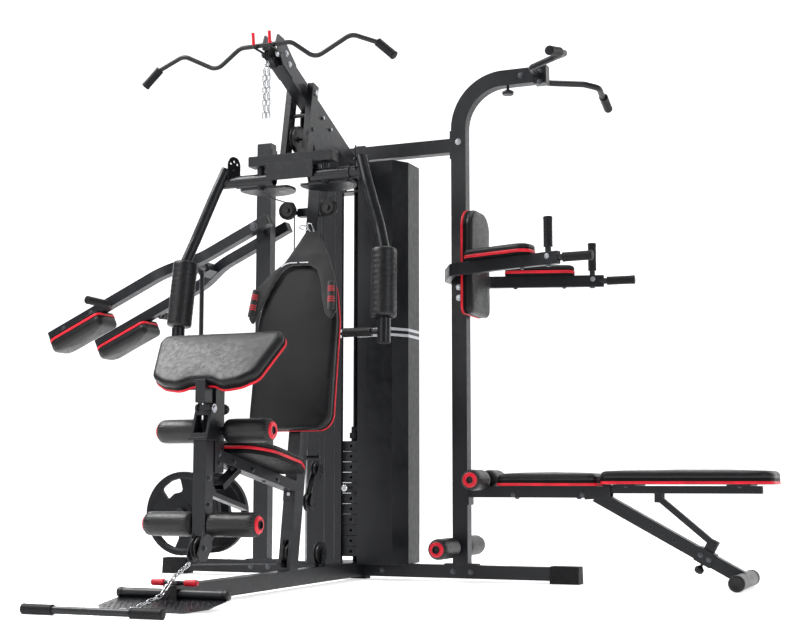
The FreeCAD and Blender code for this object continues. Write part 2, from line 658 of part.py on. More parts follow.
front_tube = box_tube("front_tube", "beam_wide", "front_post_deep",
                      "front_post_top - front_post_low", (0, "-front_post_y", "front_post_low"))
upper_tube = ring("upper_roller_tube", "roller_tube", "roller_tube - 2", "2 * roller_outer + 16",
                  ("-roller_outer - 8", -1240, "upper_roller_z"), (1, 0, 0))
leg_pivot = V(0, -num("leg_pivot_y"), num("leg_pivot_z"))
hinge_block = box("hinge_block", (40, 34, 26), (-20, leg_pivot.y - 8.6, leg_pivot.z - 13))
hinge_pin = rod("hinge_pin", 8, 72, tuple(leg_pivot + V(-36, 0, 0)), (1, 0, 0))
node(fuse("front_upright", [front_tube, upper_tube, hinge_block, hinge_pin]))

leg_y = num("leg_arm_y")
leg_parts = [box_tube("leg_tube", "beam_wide", "beam_wide", "560 - leg_arm_low",
                      (0, "-leg_arm_y", "leg_arm_low"))]
yoke_top, yoke_low = V(0, -1327, 650), V(0, -1358, 556)
yoke_way = (yoke_top - yoke_low).normalize()
yoke_out = V(0, -yoke_way.z, yoke_way.y)
for sign in (-1, 1):
    leg_parts.append(slab("yoke_cheek_%d" % sign,
                          [(yoke_low.y, yoke_low.z), (-1297, yoke_low.z), (-1297, 660),
                           (-1303, 673), (-1321, 673), (yoke_top.y, yoke_top.z)], 6,
                          (27.4 if sign > 0 else -33.4, 0, 0), (0, 1, 0), (1, 0, 0), corner=2,
                          holes=[(leg_pivot.y, leg_pivot.z, 8.06)]))
yoke_long = (yoke_top - yoke_low).Length
yoke_window = box("yoke_window", (48, yoke_long - 34, 20), tuple(yoke_low + yoke_way * 18
                  + yoke_out * -8 + V(-24, 0, 0)), (1, 0, 0), tuple(yoke_out))
leg_parts.append(cut("yoke_front", box("yoke_plate", (66.8, yoke_long, 6),
                                       tuple(yoke_low + yoke_out * -5 + V(-33.4, 0, 0)),
                                       (1, 0, 0), tuple(yoke_out)), [yoke_window]))
leg_parts.append(box("yoke_flange", (68, 72, 9), (-34, -1367, 549)))
lever_path = [(0, -1302, 372), (0, -1024, 312)]
leg_parts.append(box_tube_between("leg_lever", 30, 16, *lever_path))
for sign in (-1, 1):
    leg_parts.append(slab("low_clevis_%d" % sign,
                          [(-1352, 236), (-1296, 236), (-1296, 180), (-1330, 140),
                           (-1375, 140), (-1388, 165)], 5,
                          (18 if sign > 0 else -23, 0, 0), (0, 1, 0), (1, 0, 0), corner=6,
                          holes=[(-1345, 184, "axle_radius")]))
leg_roller_tube = ring("leg_roller_tube", "roller_tube", "roller_tube - 2",
                       "2 * roller_outer + 16", ("-roller_outer - 8", "-leg_arm_y",
                                                 "leg_roller_z"), (1, 0, 0))
leg_axle = rod("low_pulley_axle", "axle_radius", 46, (-23, -1345, 184), (1, 0, 0))
node(fuse("leg_arm", leg_parts + [leg_roller_tube, leg_axle]))


def roller_pair(name, inner, outer, at, axis):
    """Two foam sleeves on one tube, on both sides of its middle."""
    way = V(*axis)
    middle = V(*[num(c) for c in at])
    long = num(outer) - num(inner)
    return [ring("%s_%d" % (name, sign), "roller_radius", "roller_tube + 0.2", long,
                 tuple(middle + way * (num(inner) if sign > 0 else -num(outer))), axis)
            for sign in (-1, 1)]


node(gather("leg_rollers", roller_pair("leg_roller", 30, "roller_outer",
                                       (0, "-leg_arm_y", "leg_roller_z"), (1, 0, 0))))
node(gather("fixed_foam_rollers",
            roller_pair("upper_roller", "roller_inner", "roller_outer + 4",
                        (0, -1240, "upper_roller_z"), (1, 0, 0))
            + roller_pair("ankle_roller", 58, 248, (440, 0, 138), (0, 1, 0))
            + roller_pair("bench_roller", 34, 184, (560, 0, 414), (0, 1, 0))))

# preacher pad: its back plane leans so that the top edge is nearer the seat
pad_tilt = math.radians(41.4)
pad_up = V(0, math.sin(pad_tilt), math.cos(pad_tilt))
pad_face = V(0, -math.cos(pad_tilt), math.sin(pad_tilt))
pad_origin = V(0, -1331, 714.6)
half_outline = [(40, 18), (84, -6), (150, 6), (205, 42), (226, 130), (246, 212), (236, 250)]
preacher_outline = [(-x, y) for x, y in half_outline] + half_outline[::-1]
node(slab("preacher_pad", preacher_outline, 52, tuple(pad_origin + pad_face * 0.4), (1, 0, 0),
          tuple(pad_face), corner=[60, 60, 80, 50, 200, 26, 22, 22, 26, 200, 50, 80, 60, 60]))
pad_space = box("pad_space", (400, 400, 300), tuple(pad_origin + pad_up * 17.4 - pad_face * 6
                                                    + V(-200, 0, 0)), (1, 0, 0), tuple(pad_face))
slider = box_tube("preacher_slider", "beam_wide - 2 * wall - 0.8",
                  "front_post_deep - 2 * wall - 0.8", 240, (0, "-front_post_y", 606))
riser = box_tube("preacher_riser", "preacher_wide - 2", 50, 110, (0, -1327, 677))
riser_link = box("riser_link", (36, 100, 30), (-18, -1345, 737))
pad_plate = box("preacher_plate", (150, 170, 6), tuple(pad_origin + pad_up * 16 - pad_face * 6
                                                       + V(-75, 0, 0)), (1, 0, 0),
                tuple(pad_face))
node(fuse("preacher_post", [cut("preacher_tubes", fuse("preacher_blank",
                                                       [slider, riser, riser_link]),
                                [pad_space]), pad_plate]))


def pull_knob(name, at, axis, stem_long=26):
    """A sprung locking pin with a moulded ball grip."""
    way = V(*axis).normalize()
    start = V(*[num(c) for c in at])
    grip = turned(name + "_grip", [(0, 0), (8, 0), (17, 8), (19, 16), (16, 26), (8, 31),
                                   (0, 31)], tuple(start + way * stem_long), axis)
    return [rod(name + "_stem", 6, stem_long, tuple(start), axis), grip]


node(fuse("preacher_knob", pull_knob("preacher_pin", (0, -post_back + 0.4, 660), (0, 1, 0), 26)))

# foot plate, front cross tube and the rests for the two pull bars
foot_tube = ring("foot_tube", 16, 13.5, 412, (-206, -1503, 44), (1, 0, 0))
tread_fall = math.atan2(26, 182)
tread = slab("foot_tread", [(-150, 0), (150, 0), (206, 62), (206, 186), (-206, 186),
                            (-206, 62)], 3, (0, -1688, 0.5), (1, 0, 0),
             (0, -math.sin(tread_fall), math.cos(tread_fall)), corner=12)
tread_notch = box("tread_notch", (50.8, 40, 30), (-25.4, -1522.4, 5))
node(fuse("foot_plate", [foot_tube, cut("foot_tread_notched", tread, [tread_notch])]))

rests = [fuse("floor_rest", [rod("rest_bar", 7, 160, (-80, -1494, 79.4), (1, 0, 0)),
                             rod("rest_cap_left", 10, 46, (-86, -1494, 79.4), (1, 0, 0)),
                             rod("rest_cap_right", 10, 46, (40, -1494, 79.4), (1, 0, 0)),
                             box("rest_block", (26, 26, 6), (-13, -1507, 72.2))])]
for sign in (-1, 1):
    rests.append(bent_bar("bar_hook_%d" % sign, 4.5, [(sign * 34.9, -842, 2051),
                                                      (sign * 34.9, -936, 2051),
                                                      (sign * 34.9, -945, 2106)], 12))
node(gather("bar_rests", rests))

# ----------------------------------------------------------------------------------------
# Press frame and fly arms
# ----------------------------------------------------------------------------------------
box_z = num("cross_box_z")
box_high = num("cross_box_high")
hanger_foot = V(0, -641, box_z + box_high / 2)
hang = (press_pivot - hanger_foot).normalize()
press_parts = []
for sign in (-1, 1):
    x = sign * num("hanger_inner + hanger_wide / 2")
    blank = box_tube("hanger_blank_%d" % sign, "hanger_wide", "hanger_deep",
                     (press_pivot - hanger_foot).Length + 65, tuple(hanger_foot - hang * 30
                                                                    + V(x, 0, 0)),
                     z_dir=tuple(hang))
    floor = box("hanger_floor_%d" % sign, (40, 120, 60), (x - 20, -700, box_z + box_high / 2 - 60))
    press_parts.append(drill("hanger_%d" % sign, cut("hanger_cut_%d" % sign, blank, [floor]),
                             [(press_pivot + V(x - 13, 0, 0), (1, 0, 0), 26)], 8.06))
press_parts.append(box_tube("cross_box", "cross_box_high", 56, "2 * cross_box_half",
                            ("-cross_box_half", -669, "cross_box_z"), (0, 0, 1), (1, 0, 0)))
press_parts.append(slab("front_shield", [(-102, 1587), (102, 1587), (102, 1656), (-102, 1656)], 5,
                        (0, -697, 0), (1, 0, 0), (0, -1, 0), corner=[12, 12, 0, 0]))
pulley_mid = hanger_foot + hang * 70
press_parts.append(rod("press_axle", "axle_radius", 100, tuple(pulley_mid + V(-50, 0, 0)),
                       (1, 0, 0)))
press_parts.append(rod("press_tie", 8, 80, tuple(hanger_foot + hang * 175 + V(-40, 0, 0)),
                       (1, 0, 0)))
pivot_x = num("arm_pivot_x")
sleeve_z = num("sleeve_z")
for sign in (-1, 1):
    press_parts.append(rod("arm_pin_%d" % sign, 8, box_z - 15 - 1560,
                           (sign * pivot_x, "-cross_box_y", 1560)))
    press_parts.append(rod("arm_pin_head_%d" % sign, 13, 5,
                           (sign * pivot_x, "-cross_box_y", 1556)))
node(fuse("press_frame", press_parts))


def sided(sign, points):
    return [(sign * x, y, z) for x, y, z in points]


def press_arm(name, sign):
    """One swinging arm: sleeve, cam, angle plate, bent tube, lower boss and hand grip."""
    reach = [(297, -670, 1655), (335, -697, 1545), (399, -728, 1366), (428, -752, 1276),
             (440, -786, 962)]
    blade = V(-0.38 * sign, 0.92, 0).normalize()
    y = -num("cross_box_y")
    parts = [
        ring(name + "_sleeve", "sleeve_radius", "sleeve_radius - 3", 166,
             (sign * 84, y, sleeve_z), (sign, 0, 0)),
        rod(name + "_boss", 16, 78, (sign * pivot_x, y, 1569)),
        ring(name + "_inner", 22.4, 19, 74, (sign * 238, y + 1, sleeve_z + 1), (sign, 0, 0)),
        bent_tube(name + "_tube", "arm_radius", "arm_radius - 2.5", sided(sign, reach),
                  [250, 250, 30]),
        rod(name + "_lower_boss", 25, 90, (sign * 440.3, -783.5, 918), (0, 0.03, 1)),
        rod(name + "_handle", "handle_radius", 150, (sign * 430, -785, 960), (-sign, 0, 0)),
        rod(name + "_grip", 15, 112, (sign * 392, -785, 960), (-sign, 0, 0)),
        slab(name + "_angle_plate", [(-31, 1600), (31, 1600), (31, 1680), (16, 1705),
                                     (-16, 1705), (-31, 1680)], 5,
             tuple(V(sign * 268, y + 4, 0) - blade.cross(V(0, 0, 1)) * 2.5), tuple(blade),
             tuple(blade.cross(V(0, 0, 1))), corner=[4, 4, 22, 22, 22, 22],
             holes=[(-16, 1676, 5), (0, 1686, 5), (16, 1676, 5)]),
        rod(name + "_angle_pin", 6, 40, (sign * 262, y + 2, 1650), (sign, -0.2, 0)),
    ]
    wheel = V(sign * 134, -621, 1564)
    cam = rod(name + "_cam_disc", "cam_radius", 9, tuple(wheel))
    groove = cut(name + "_cam_groove", rod(name + "_cam_ring", "cam_radius + 2", 4,
                                           tuple(wheel + V(0, 0, 2.5))),
                 [rod(name + "_cam_core", "cam_radius - 6", 4, tuple(wheel + V(0, 0, 2.5)))])
    half = box(name + "_cam_half", (300, 150, 30), (wheel.x - 150, y - 147, 1555))
    parts.append(cut(name + "_cam", cam, [half, groove]))
    bore = rod(name + "_bore", 8.06, 130, (sign * pivot_x, y, 1540))
    return cut(name, fuse(name + "_blank", parts), [bore])


node(press_arm("press_arm_left", -1))
node(press_arm("press_arm_right", 1))
foam_top, foam_low = V(428, -752, 1276), V(440, -786, 962)
foam_way = (foam_low - foam_top).normalize()
for name, sign in (("arm_foam_left", -1), ("arm_foam_right", 1)):
    start = foam_top + foam_way * 2
    node(ring(name, "arm_foam_radius", "arm_radius + 0.9", "arm_foam_long",
              (sign * start.x, start.y, start.z),
              (sign * foam_way.x, foam_way.y, foam_way.z)))

# ----------------------------------------------------------------------------------------
# Pulleys and their brackets
# ----------------------------------------------------------------------------------------


def pulley(name, radius, at, axis):
    """A grooved wheel with a raised hub, turning on a pin."""
    r = num(radius)
    half = num("pulley_wide") / 2
    bore = num("axle_radius") + 0.06
    start = V(*[num(c) for c in at]) - V(*axis).normalize() * half
    return turned(name, [(bore, 0), (12, 0), (12, 4), (r - 12, 4), (r, 1), (r, 3), (r - 8, 8),
                         (r - 8, 12), (r, 17), (r, 19), (r - 12, 16), (12, 16), (12, 20),
                         (bore, 20)], tuple(start), axis)


low_radius = num("small_pulley_radius") - 3
boom_hub = boom_at(890, -30)
slot_hub = V(0, -667, 136)
floor_hub = V(0, -398, 122)
upper_hub = V(0, -303, 1738)
node(pulley("boom_pulley", "small_pulley_radius", tuple(boom_hub), (1, 0, 0)))
node(pulley("press_pulley", "pulley_radius", tuple(pulley_mid), (1, 0, 0)))
node(pulley("slot_pulley", "small_pulley_radius", tuple(slot_hub), (1, 0, 0)))
node(pulley("floor_pulley", "small_pulley_radius", tuple(floor_hub), (1, 0, 0)))
node(pulley("low_pulley", low_radius, (0, -1345, 184), (1, 0, 0)))
for name, sign in (("left_fly_pulley", -1), ("right_fly_pulley", 1)):
    node(pulley(name, 36, (sign * 90, -532, 1495), (0, 1, 0)))

brackets = [rod("boom_axle", "axle_radius", 62, tuple(boom_hub + V(-31, 0, 0)), (1, 0, 0)),
            rod("slot_axle", "axle_radius", 44.9, tuple(slot_hub + V(-22.45, 0, 0)), (1, 0, 0)),
            rod("floor_axle", "axle_radius", 40, tuple(floor_hub + V(-20, 0, 0)), (1, 0, 0)),
            rod("upper_axle", "axle_radius", 40, tuple(upper_hub + V(-20, 0, 0)), (1, 0, 0)),
            pulley("upper_pulley", "small_pulley_radius", tuple(upper_hub), (1, 0, 0))]
for sign in (-1, 1):
    face = 12 if sign > 0 else -16
    floor_cheek = slab("floor_cheek_%d" % sign, [(-18, base_top), (18, base_top), (12, 138),
                                                 (-12, 138)], 4,
                       (face, floor_hub.y, 0), (0, 1, 0), (1, 0, 0), corner=3,
                       holes=[(0, floor_hub.z, "axle_radius")])
    upper_cheek = slab("upper_cheek_%d" % sign, [(-14, upper_hub.z - 14), (14, upper_hub.z - 14),
                                                 (20, 1777), (-20, 1794)], 4,
                       (face, upper_hub.y, 0), (0, 1, 0), (1, 0, 0), corner=0,
                       holes=[(0, upper_hub.z, "axle_radius")])
    fly_mount = box("fly_mount_%d" % sign, (46, 34, 34),
                    (25 if sign > 0 else -71, -484, 1478))
    fly_neck = box("fly_neck_%d" % sign, (26, 36, 10), (sign * 90 - 13, -519, 1490))
    fly_arm = box("fly_arm_%d" % sign, (34, 12, 16), (sign * 86 - 17, -484, 1487))
    fly_axle = rod("fly_axle_%d" % sign, "axle_radius", 46, (sign * 90, -546, 1495), (0, 1, 0))
    fly_cap = rod("fly_cap_%d" % sign, 9, 4, (sign * 90, -548, 1495), (0, 1, 0))
    brackets += [floor_cheek, upper_cheek,
                 fuse("fly_bracket_%d" % sign, [fly_mount, fly_neck, fly_arm, fly_axle, fly_cap])]
float_low, float_high = V(0, -501, 328), V(0, -431, 454)
link_way = (float_high - float_low)
float_cheeks = [slab("float_cheek_%d" % sign, [(-16, -20), (link_way.Length + 16, -20),
                                               (link_way.Length + 16, 20), (-16, 20)], 4,
                     tuple(float_low + V(11 if sign > 0 else -15, 0, 0)),
                     tuple(link_way), (1, 0, 0), corner=14) for sign in (-1, 1)]
float_pins = [rod("float_pin_%d" % i, "axle_radius", 22, tuple(p + V(-11, 0, 0)), (1, 0, 0))
              for i, p in enumerate((float_low, float_high))]
float_wheels = [pulley("float_pulley_%d" % i, 38, tuple(p), (1, 0, 0))
                for i, p in enumerate((float_low, float_high))]
float_tie = box("float_tie", (120, 16, 10), (-60, -538, 500))
float_hook = box("float_hook", (12, 60, 8), (-6, -530, 492))
brackets += float_cheeks + float_pins + float_wheels + [fuse("float_yoke", [float_tie, float_hook])]
node(gather("pulley_brackets", brackets))

# ----------------------------------------------------------------------------------------
# Steel cables, each along its real route
# ----------------------------------------------------------------------------------------
cable = num("cable_radius")
wrap = num("small_pulley_radius") - 8 + cable + 0.3


def cable_run(name, points, bends):
    """A plain tube along straight runs and arcs as large as the pulleys they wrap."""
    obj = bent_bar(name, "cable_radius", points, bends)
    doc.recompute()
    path = doc.getObject(name + "_path").Shape
    expected = math.pi * cable ** 2 * path.Length
    if abs(obj.Shape.Volume / expected - 1) > 0.02:
        raise ValueError("%s sweeps badly" % name)
    print("%s: length %.0f mm, radii %s" % (name, path.Length, bends))
    return obj


def meet(hub, radius, way_in, way_out):
    """Where the two tangent runs round a wheel would cross, in the YZ plane."""
    first, second = V(*way_in).normalize(), V(*way_out).normalize()
    outward = (first - second).normalize()
    half = math.pi / 2 - first.getAngle(second) / 2
    return hub + outward * (radius / math.sin(math.pi / 2 - first.getAngle(second) / 2)
                            if half > 0 else radius)


boom_corner = meet(boom_hub, wrap, boom_way, (0, 0, -1))
rear_run = (num("stack_y") - 25 + 7.8) / math.cos(rise)
rear_corner = V(0, -num("stack_y"), 0)
high = (boom_corner - boom_rear).dot(boom_up)
rear_corner = boom_rear + boom_up * high
rear_corner = rear_corner + boom_way * ((rear_corner.y + num("stack_y")) / math.cos(rise))
lat_cable = cable_run("lat_cable", [(0, -num("stack_y"), stem_top - 14), tuple(rear_corner),
                                    tuple(boom_corner), (0, boom_corner.y, 1992)], [30, wrap])
slot_bottom = slot_hub + V(0, 0, -wrap)
floor_bottom = floor_hub + V(0, 0, -wrap)
low_start = V(0, -1392, 133)
run_one = (slot_bottom - low_start).normalize()
slot_turn = slot_bottom + V(0, 6, -1.4)
to_hub = floor_hub - slot_turn
run_two = math.atan2(to_hub.z, to_hub.y) - math.asin(wrap / to_hub.Length)
floor_turn = slot_turn.z + math.tan(run_two) * (floor_hub.y + wrap - slot_turn.y)
low_cable = cable_run("low_cable", [
    tuple(low_start), tuple(slot_turn),
    (0, floor_hub.y + wrap, floor_turn), (0, floor_hub.y + wrap, upper_hub.z - 40)],
    [300, wrap])
return_cable = cable_run("return_cable", [
    (0, upper_hub.y + wrap, upper_hub.z - 40), (0, upper_hub.y + wrap, 900),
    (0, upper_hub.y + wrap + 1, 96)], [5000])
fly_cables = []
for label, sign in (("left", -1), ("right", 1)):
    fly_cables.append(cable_run("%s_fly_cable" % label, [
        (sign * 176, -543, 1557), (sign * 96, -532, 1530), (sign * 59.5, -532, 1526),
        (sign * 59.5, -532, 1440), (sign * 56, -530, 511)], [40, 16, 900]))
anchor = [rod("anchor_%d" % i, 8, 20, (0, y, base_top)) for i, y in
          enumerate((upper_hub.y + wrap + 1, -185))]
node(gather("steel_cables", [lat_cable, low_cable, return_cable] + fly_cables))

# ----------------------------------------------------------------------------------------
# Bars, chains and the fabric harness
# ----------------------------------------------------------------------------------------
bar_y = -908
lat_half = [(532, 1962), (470, 2018), (360, 2064), (212, 1990), (110, 2065)]
lat_points = [(-x, bar_y, z) for x, z in lat_half] + [(x, bar_y, z) for x, z in lat_half[::-1]]
lat_shaft = bent_bar("lat_shaft", 9, lat_points, 55)
lat_grips = []
for sign in (-1, 1):
    ends = [V(sign * 535, bar_y, 1959.3), V(sign * 470, bar_y, 2018)]
    way = (ends[1] - ends[0]).normalize()
    lat_grips.append(rod("lat_grip_%d" % sign, 14, 92, tuple(ends[0]), tuple(way)))
lat_eye = slab("lat_eye", [(-12, 2044), (12, 2044), (12, 2062), (-12, 2062)], 6,
               (0, -905, 0), (1, 0, 0), (0, -1, 0), corner=5)
node(fuse("lat_bar", [lat_shaft] + lat_grips + [lat_eye]))

low_shaft = rod("low_shaft", 12, 500, (-311, -1872, 16), (1, 0, 0))
low_grips = [rod("low_grip_%d" % i, 15.5, 112, (x, -1872, 16), (1, 0, 0))
             for i, x in enumerate((-313, 80))]
node(fuse("low_bar", [low_shaft] + low_grips))


def chain(name, start, finish, pitch=22.0, wire=2.6):
    """A run of oval links, each turned a quarter turn from its neighbours."""
    a, b = V(*start), V(*finish)
    count = max(2, int((b - a).Length / pitch))
    way = (b - a).normalize()
    step = (b - a).Length / count
    across = way.cross(V(1, 0, 0)).normalize()
    links = []
    half = step / 2 + wire
    wide = 6.2
    for i in range(count):
        mid = a + way * (step * (i + 0.5))
        flat = V(1, 0, 0) if i % 2 else across
        links.append(link_ring("%s_%d" % (name, i), mid, way, flat, half, wide, wire))
    return links


def link_ring(name, middle, way, flat, half, wide, wire):
    """One closed link bent from round wire, lying in the plane of way and flat."""
    straight = half - wide
    ends = []
    sides = []
    for sign in (1, -1):
        end = doc.addObject("Part::Torus", "%s_end_%d" % (name, sign))
        bind(end, "Radius1", wide)
        bind(end, "Radius2", wire)
        end.Angle3 = 180
        ends.append(place(end, (0, 0, sign * straight), (sign, 0, 0), (0, -1, 0)))
        sides.append(rod("%s_side_%d" % (name, sign), wire, 2 * straight,
                         (sign * wide, 0, -straight)))
    return place(fuse(name, ends + sides), tuple(middle), tuple(flat), tuple(way))


links = []
for x in (-9, 9):
    links += chain("lat_chain_%d" % x, (x, boom_corner.y, 1976), (x, boom_corner.y, 1782))
low_route = [(0, -1404, 136), (10, -1528, 92), (4, -1580, 44), (-18, -1684, 14.5)]
for i in range(3):
    links += chain("low_chain_%d" % i, low_route[i], low_route[i + 1])
links += chain("floor_chain", (-20, -1692, 9.4), (-50, -1848, 9.4))
cable_stop = turned("lat_cable_stop", [(2.6, 0), (8, 2), (10, 12), (8, 24), (2.6, 26)],
                    (0, boom_corner.y, 1982), (0, 0, 1))
node(gather("chains_and_clips", links + [cable_stop]))

# the collar lies on the backrest's face, and its neck leans back over the top edge
collar_outline = [(-43, 690), (129, 690), (137, 668), (154, 620), (171, 565), (180, 462),
                  (160, 424), (134, 450), (114, 510), (108, 560), (100, 592), (84, 630),
                  (50, 651), (-34, 655), (-70, 636), (-98, 590), (-138, 505), (-164, 455),
                  (-180, 412), (-199, 440), (-190, 548), (-124, 621), (-62, 667)]
fold = upright_at(592) + upright_way * 690 + upright_face * 113.5
neck_way = V(0, -548 - fold.y, 1396 - fold.z)
neck_long = neck_way.Length
neck_way = neck_way.normalize()
collar_sheet = slab("harness_collar", collar_outline, 10,
                    tuple(upright_at(592) + upright_face * 113.5), (1, 0, 0),
                    tuple(upright_face), corner=[0, 0] + [8] * 21)
neck_sheet = slab("harness_neck", [(-44.5, -4), (130.5, -4), (54, neck_long), (6, neck_long)], 10,
                  tuple(fold), (1, 0, 0), (0, -neck_way.z, neck_way.y), corner=[0, 0, 8, 8])
collar_grips = []
for side, top_at, low_at in (("left", (-175, 558), (-189, 446)), ("right", (153, 576), (160, 464))):
    ends = [upright_at(592, 0, x) + upright_way * run + upright_face * 127.5
            for x, run in (top_at, low_at)]
    collar_grips.append(rod("harness_grip_%s" % side, 13.5, (ends[1] - ends[0]).Length,
                            tuple(ends[0]), tuple(ends[1] - ends[0])))
node(fuse("harness", [collar_sheet, neck_sheet] + collar_grips))

# ----------------------------------------------------------------------------------------
# Knee-raise station on the right post
# ----------------------------------------------------------------------------------------
vkr_z = num("vkr_z")
face_x = num("right_post_x + right_post_wide / 2")
rear_x = num("right_post_x - right_post_wide / 2 - vkr_wide / 2")
vkr_parts = []
for sign in (-1, 1):
    vkr_parts.append(bent_box_tube("vkr_side_%d" % sign, "vkr_wide", "vkr_high",
                                   [(rear_x, 0, vkr_z), (rear_x, sign * 40, vkr_z),
                                    (500, sign * 205, vkr_z), (985, sign * 350, vkr_z)],
                                   [60, 80], (0, 0, 1)))
    vkr_parts += [
        rod("vkr_upright_%d" % sign, 12, 160, (942, sign * 336, vkr_z), (0, 0, 1)),
        rod("vkr_upright_grip_%d" % sign, 16, 118, (942, sign * 336, 1313), (0, 0, 1)),
        rod("vkr_dip_%d" % sign, 13, 150, (968, sign * 346, vkr_z), (1, sign * 0.06, 0)),
        rod("vkr_dip_grip_%d" % sign, 16.5, 118, (1004, sign * 348.2, vkr_z),
            (1, sign * 0.06, 0))]
node(fuse("vkr_frame", vkr_parts))
back_side = slab("vkr_back_side", [(face_x + 8, 1098), (face_x + 64, 1098), (face_x + 64, 1540),
                                   (face_x + 8, 1540)], 260, (0, 130, 0), (1, 0, 0), (0, -1, 0),
                 corner=[6, 22, 30, 6])
back_plan = slab("vkr_back_plan", [(-120, 1098), (120, 1098), (120, 1540), (-120, 1540)], 70,
                 (face_x, 0, 0), (0, 1, 0), (1, 0, 0), corner=[30, 30, 84, 84])
node(shared("vkr_back_pad", back_plan, back_side))
arm_pads = []
for sign in (-1, 1):
    arm_way = V(985 - 500, sign * 145, 0).normalize()
    arm_pads.append(slab("vkr_arm_pad_%d" % sign, [(85, -52), (385, -52), (385, 52), (85, 52)],
                         46, (500, sign * 205, vkr_z + num("vkr_high") / 2 + 0.3),
                         tuple(arm_way), (0, 0, 1), corner=[24, 40, 40, 24]))
node(gather("vkr_arm_pads", arm_pads))

# pull-up bar on its inner boom
pull_half = [(812, 0, -1), (812, 118, -1), (950, 216, 4), (1002, 270, -4), (990, 462, -47)]
pull_bars = [bent_bar("pull_bar_%d" % sign, 13, [(x, sign * y, pullup_z + z)
                                                 for x, y, z in pull_half], 40)
             for sign in (-1, 1)]
inner_boom = box_tube("inner_boom", "right_post_wide - 2 * wall - 0.8",
                      "post_deep - 2 * wall - 0.8", 134, (668, 0, pullup_z), (0, 0, 1), (1, 0, 0))
pull_block = box("pull_block", (54, 50, 78), (797, -25, pullup_z - 40))
pull_grips = [rod("pull_grip_%d" % sign, 16, 118, (990, sign * 462, pullup_z - 47),
                  (12, -sign * 192, 43)) for sign in (-1, 1)]
node(fuse("pullup_bar", pull_bars + [inner_boom, pull_block] + pull_grips))

# ----------------------------------------------------------------------------------------
# Bench with a folding back
# ----------------------------------------------------------------------------------------
rail_z = num("bench_rail_z")
hinge_x = num("bench_hinge_x")
hinge = V(hinge_x, 0, rail_z + 18)
drop = math.radians(num("bench_leg_drop"))
leg_dir = V(math.cos(drop), 0, -math.sin(drop))
leg_normal = V(math.sin(drop), 0, math.cos(drop))
leg_start = V(1034, 0, 352)
leg_run = (leg_start.z - 52) / math.sin(drop)
bench_parts = [
    box_tube("bench_rail", 50, 46, 1040 - face_x - 8, (face_x + 8, 0, rail_z), (0, 1, 0), (1, 0, 0)),
    box("bench_flange", (7.6, 60, 120), (face_x + 0.4, -30, 312)),
    ring("bench_roller_tube", "roller_tube", "roller_tube - 2", 376, (560, -188, 414), (0, 1, 0)),
    cut("bench_leg_trim", box_tube("bench_leg", 50, 50, leg_run + 30, tuple(leg_start),
                                   (0, 1, 0), tuple(leg_dir)),
        [box("bench_leg_floor", (300, 100, 60), (1480, -50, -27))]),
    ring("bench_foot_tube", 30, 27.5, 380, (1604, -190, 32), (0, 1, 0)),
    box("bench_roller_block", (30, 40, 16), (545, -20, 389)),
    rod("bench_hinge_pin", 7, 68, (hinge.x, -34, hinge.z), (0, 1, 0))]
for name, y in (("bench_ear_left", -25), ("bench_ear_right", 30)):
    bench_parts.append(slab(name, [(990, 336), (1092, 344), (1096, 393), (1066, 393),
                                   (1064, 389), (990, 389)], 5, (0, y, 0), (1, 0, 0),
                            (0, -1, 0)))
node(fuse("bench_frame", bench_parts))
seat_plan = slab("bench_seat_plan", [(640, -118), (1062, -142), (1062, 142), (640, 118)], 80,
                 (0, 0, rail_z), corner=[50, 30, 30, 50])
seat_side = slab("bench_seat_side", [(640, rail_z + 23.4), (1062, rail_z + 23.4),
                                     (1062, rail_z + 77.4), (640, rail_z + 77.4)], 300,
                 (0, 150, 0), (1, 0, 0), (0, -1, 0), corner=[4, 4, 24, 22])
node(shared("bench_seat_pad", seat_plan, seat_side))
back_low = rail_z + 10
back_tube = box_tube("back_tube", 40, 30, 590, (hinge_x + 6, 0, back_low), (0, 1, 0), (1, 0, 0))
back_lug = box("back_lug", (30, 40, 30), (hinge_x - 14, -20, hinge.z - 19))
strut_top = V(1285, 0, 342)
back_plates = [box("back_plate_%d" % i, (90, 180, 5), (x, -90, back_low + 15))
               for i, x in enumerate((1120, 1560))]
strut_lugs = [box("strut_lug_%d" % sign, (34, 5, 40), (strut_top.x - 17, 12.9 if sign > 0
                                                       else -17.9, strut_top.z - 16))
              for sign in (-1, 1)]
back_holes = [(V(hinge.x, -25, hinge.z), (0, 1, 0), 50)]
strut_pin = rod("strut_pin", 6, 36, (strut_top.x, -18, strut_top.z), (0, 1, 0))
node(fuse("bench_back_rail", [drill("back_blank", fuse("back_bar", [back_tube, back_lug]),
                                    back_holes, 7.06)] + back_plates + strut_lugs + [strut_pin]))
back_plan = slab("bench_back_plan", [(1078, -142), (1740, -128), (1740, 128), (1078, 142)], 90,
                 (0, 0, back_low), corner=[30, 60, 60, 30])
back_side = slab("bench_back_side", [(1078, back_low + 20.4), (1740, back_low + 20.4),
                                     (1740, back_low + 76.4), (1078, back_low + 76.4)], 300,
                 (0, 150, 0), (1, 0, 0), (0, -1, 0), corner=[4, 10, 24, 24])
node(shared("bench_back_pad", back_plan, back_side))
slide_at = leg_start + leg_dir * 486 + leg_normal * 0
collar = box_tube("bench_collar", 57.6, 57.6, 70, tuple(slide_at - leg_dir * 35), (0, 1, 0),
                  tuple(leg_dir), wall=3)
collar_lugs = [box("collar_lug_%d" % sign, (40, 5, 46),
                   tuple(slide_at - leg_dir * 20 + leg_normal * 28
                         + V(0, 12.9 if sign > 0 else -17.9, 0)), tuple(leg_dir),
                   tuple(leg_normal)) for sign in (-1, 1)]
strut_foot = slide_at + leg_normal * 60
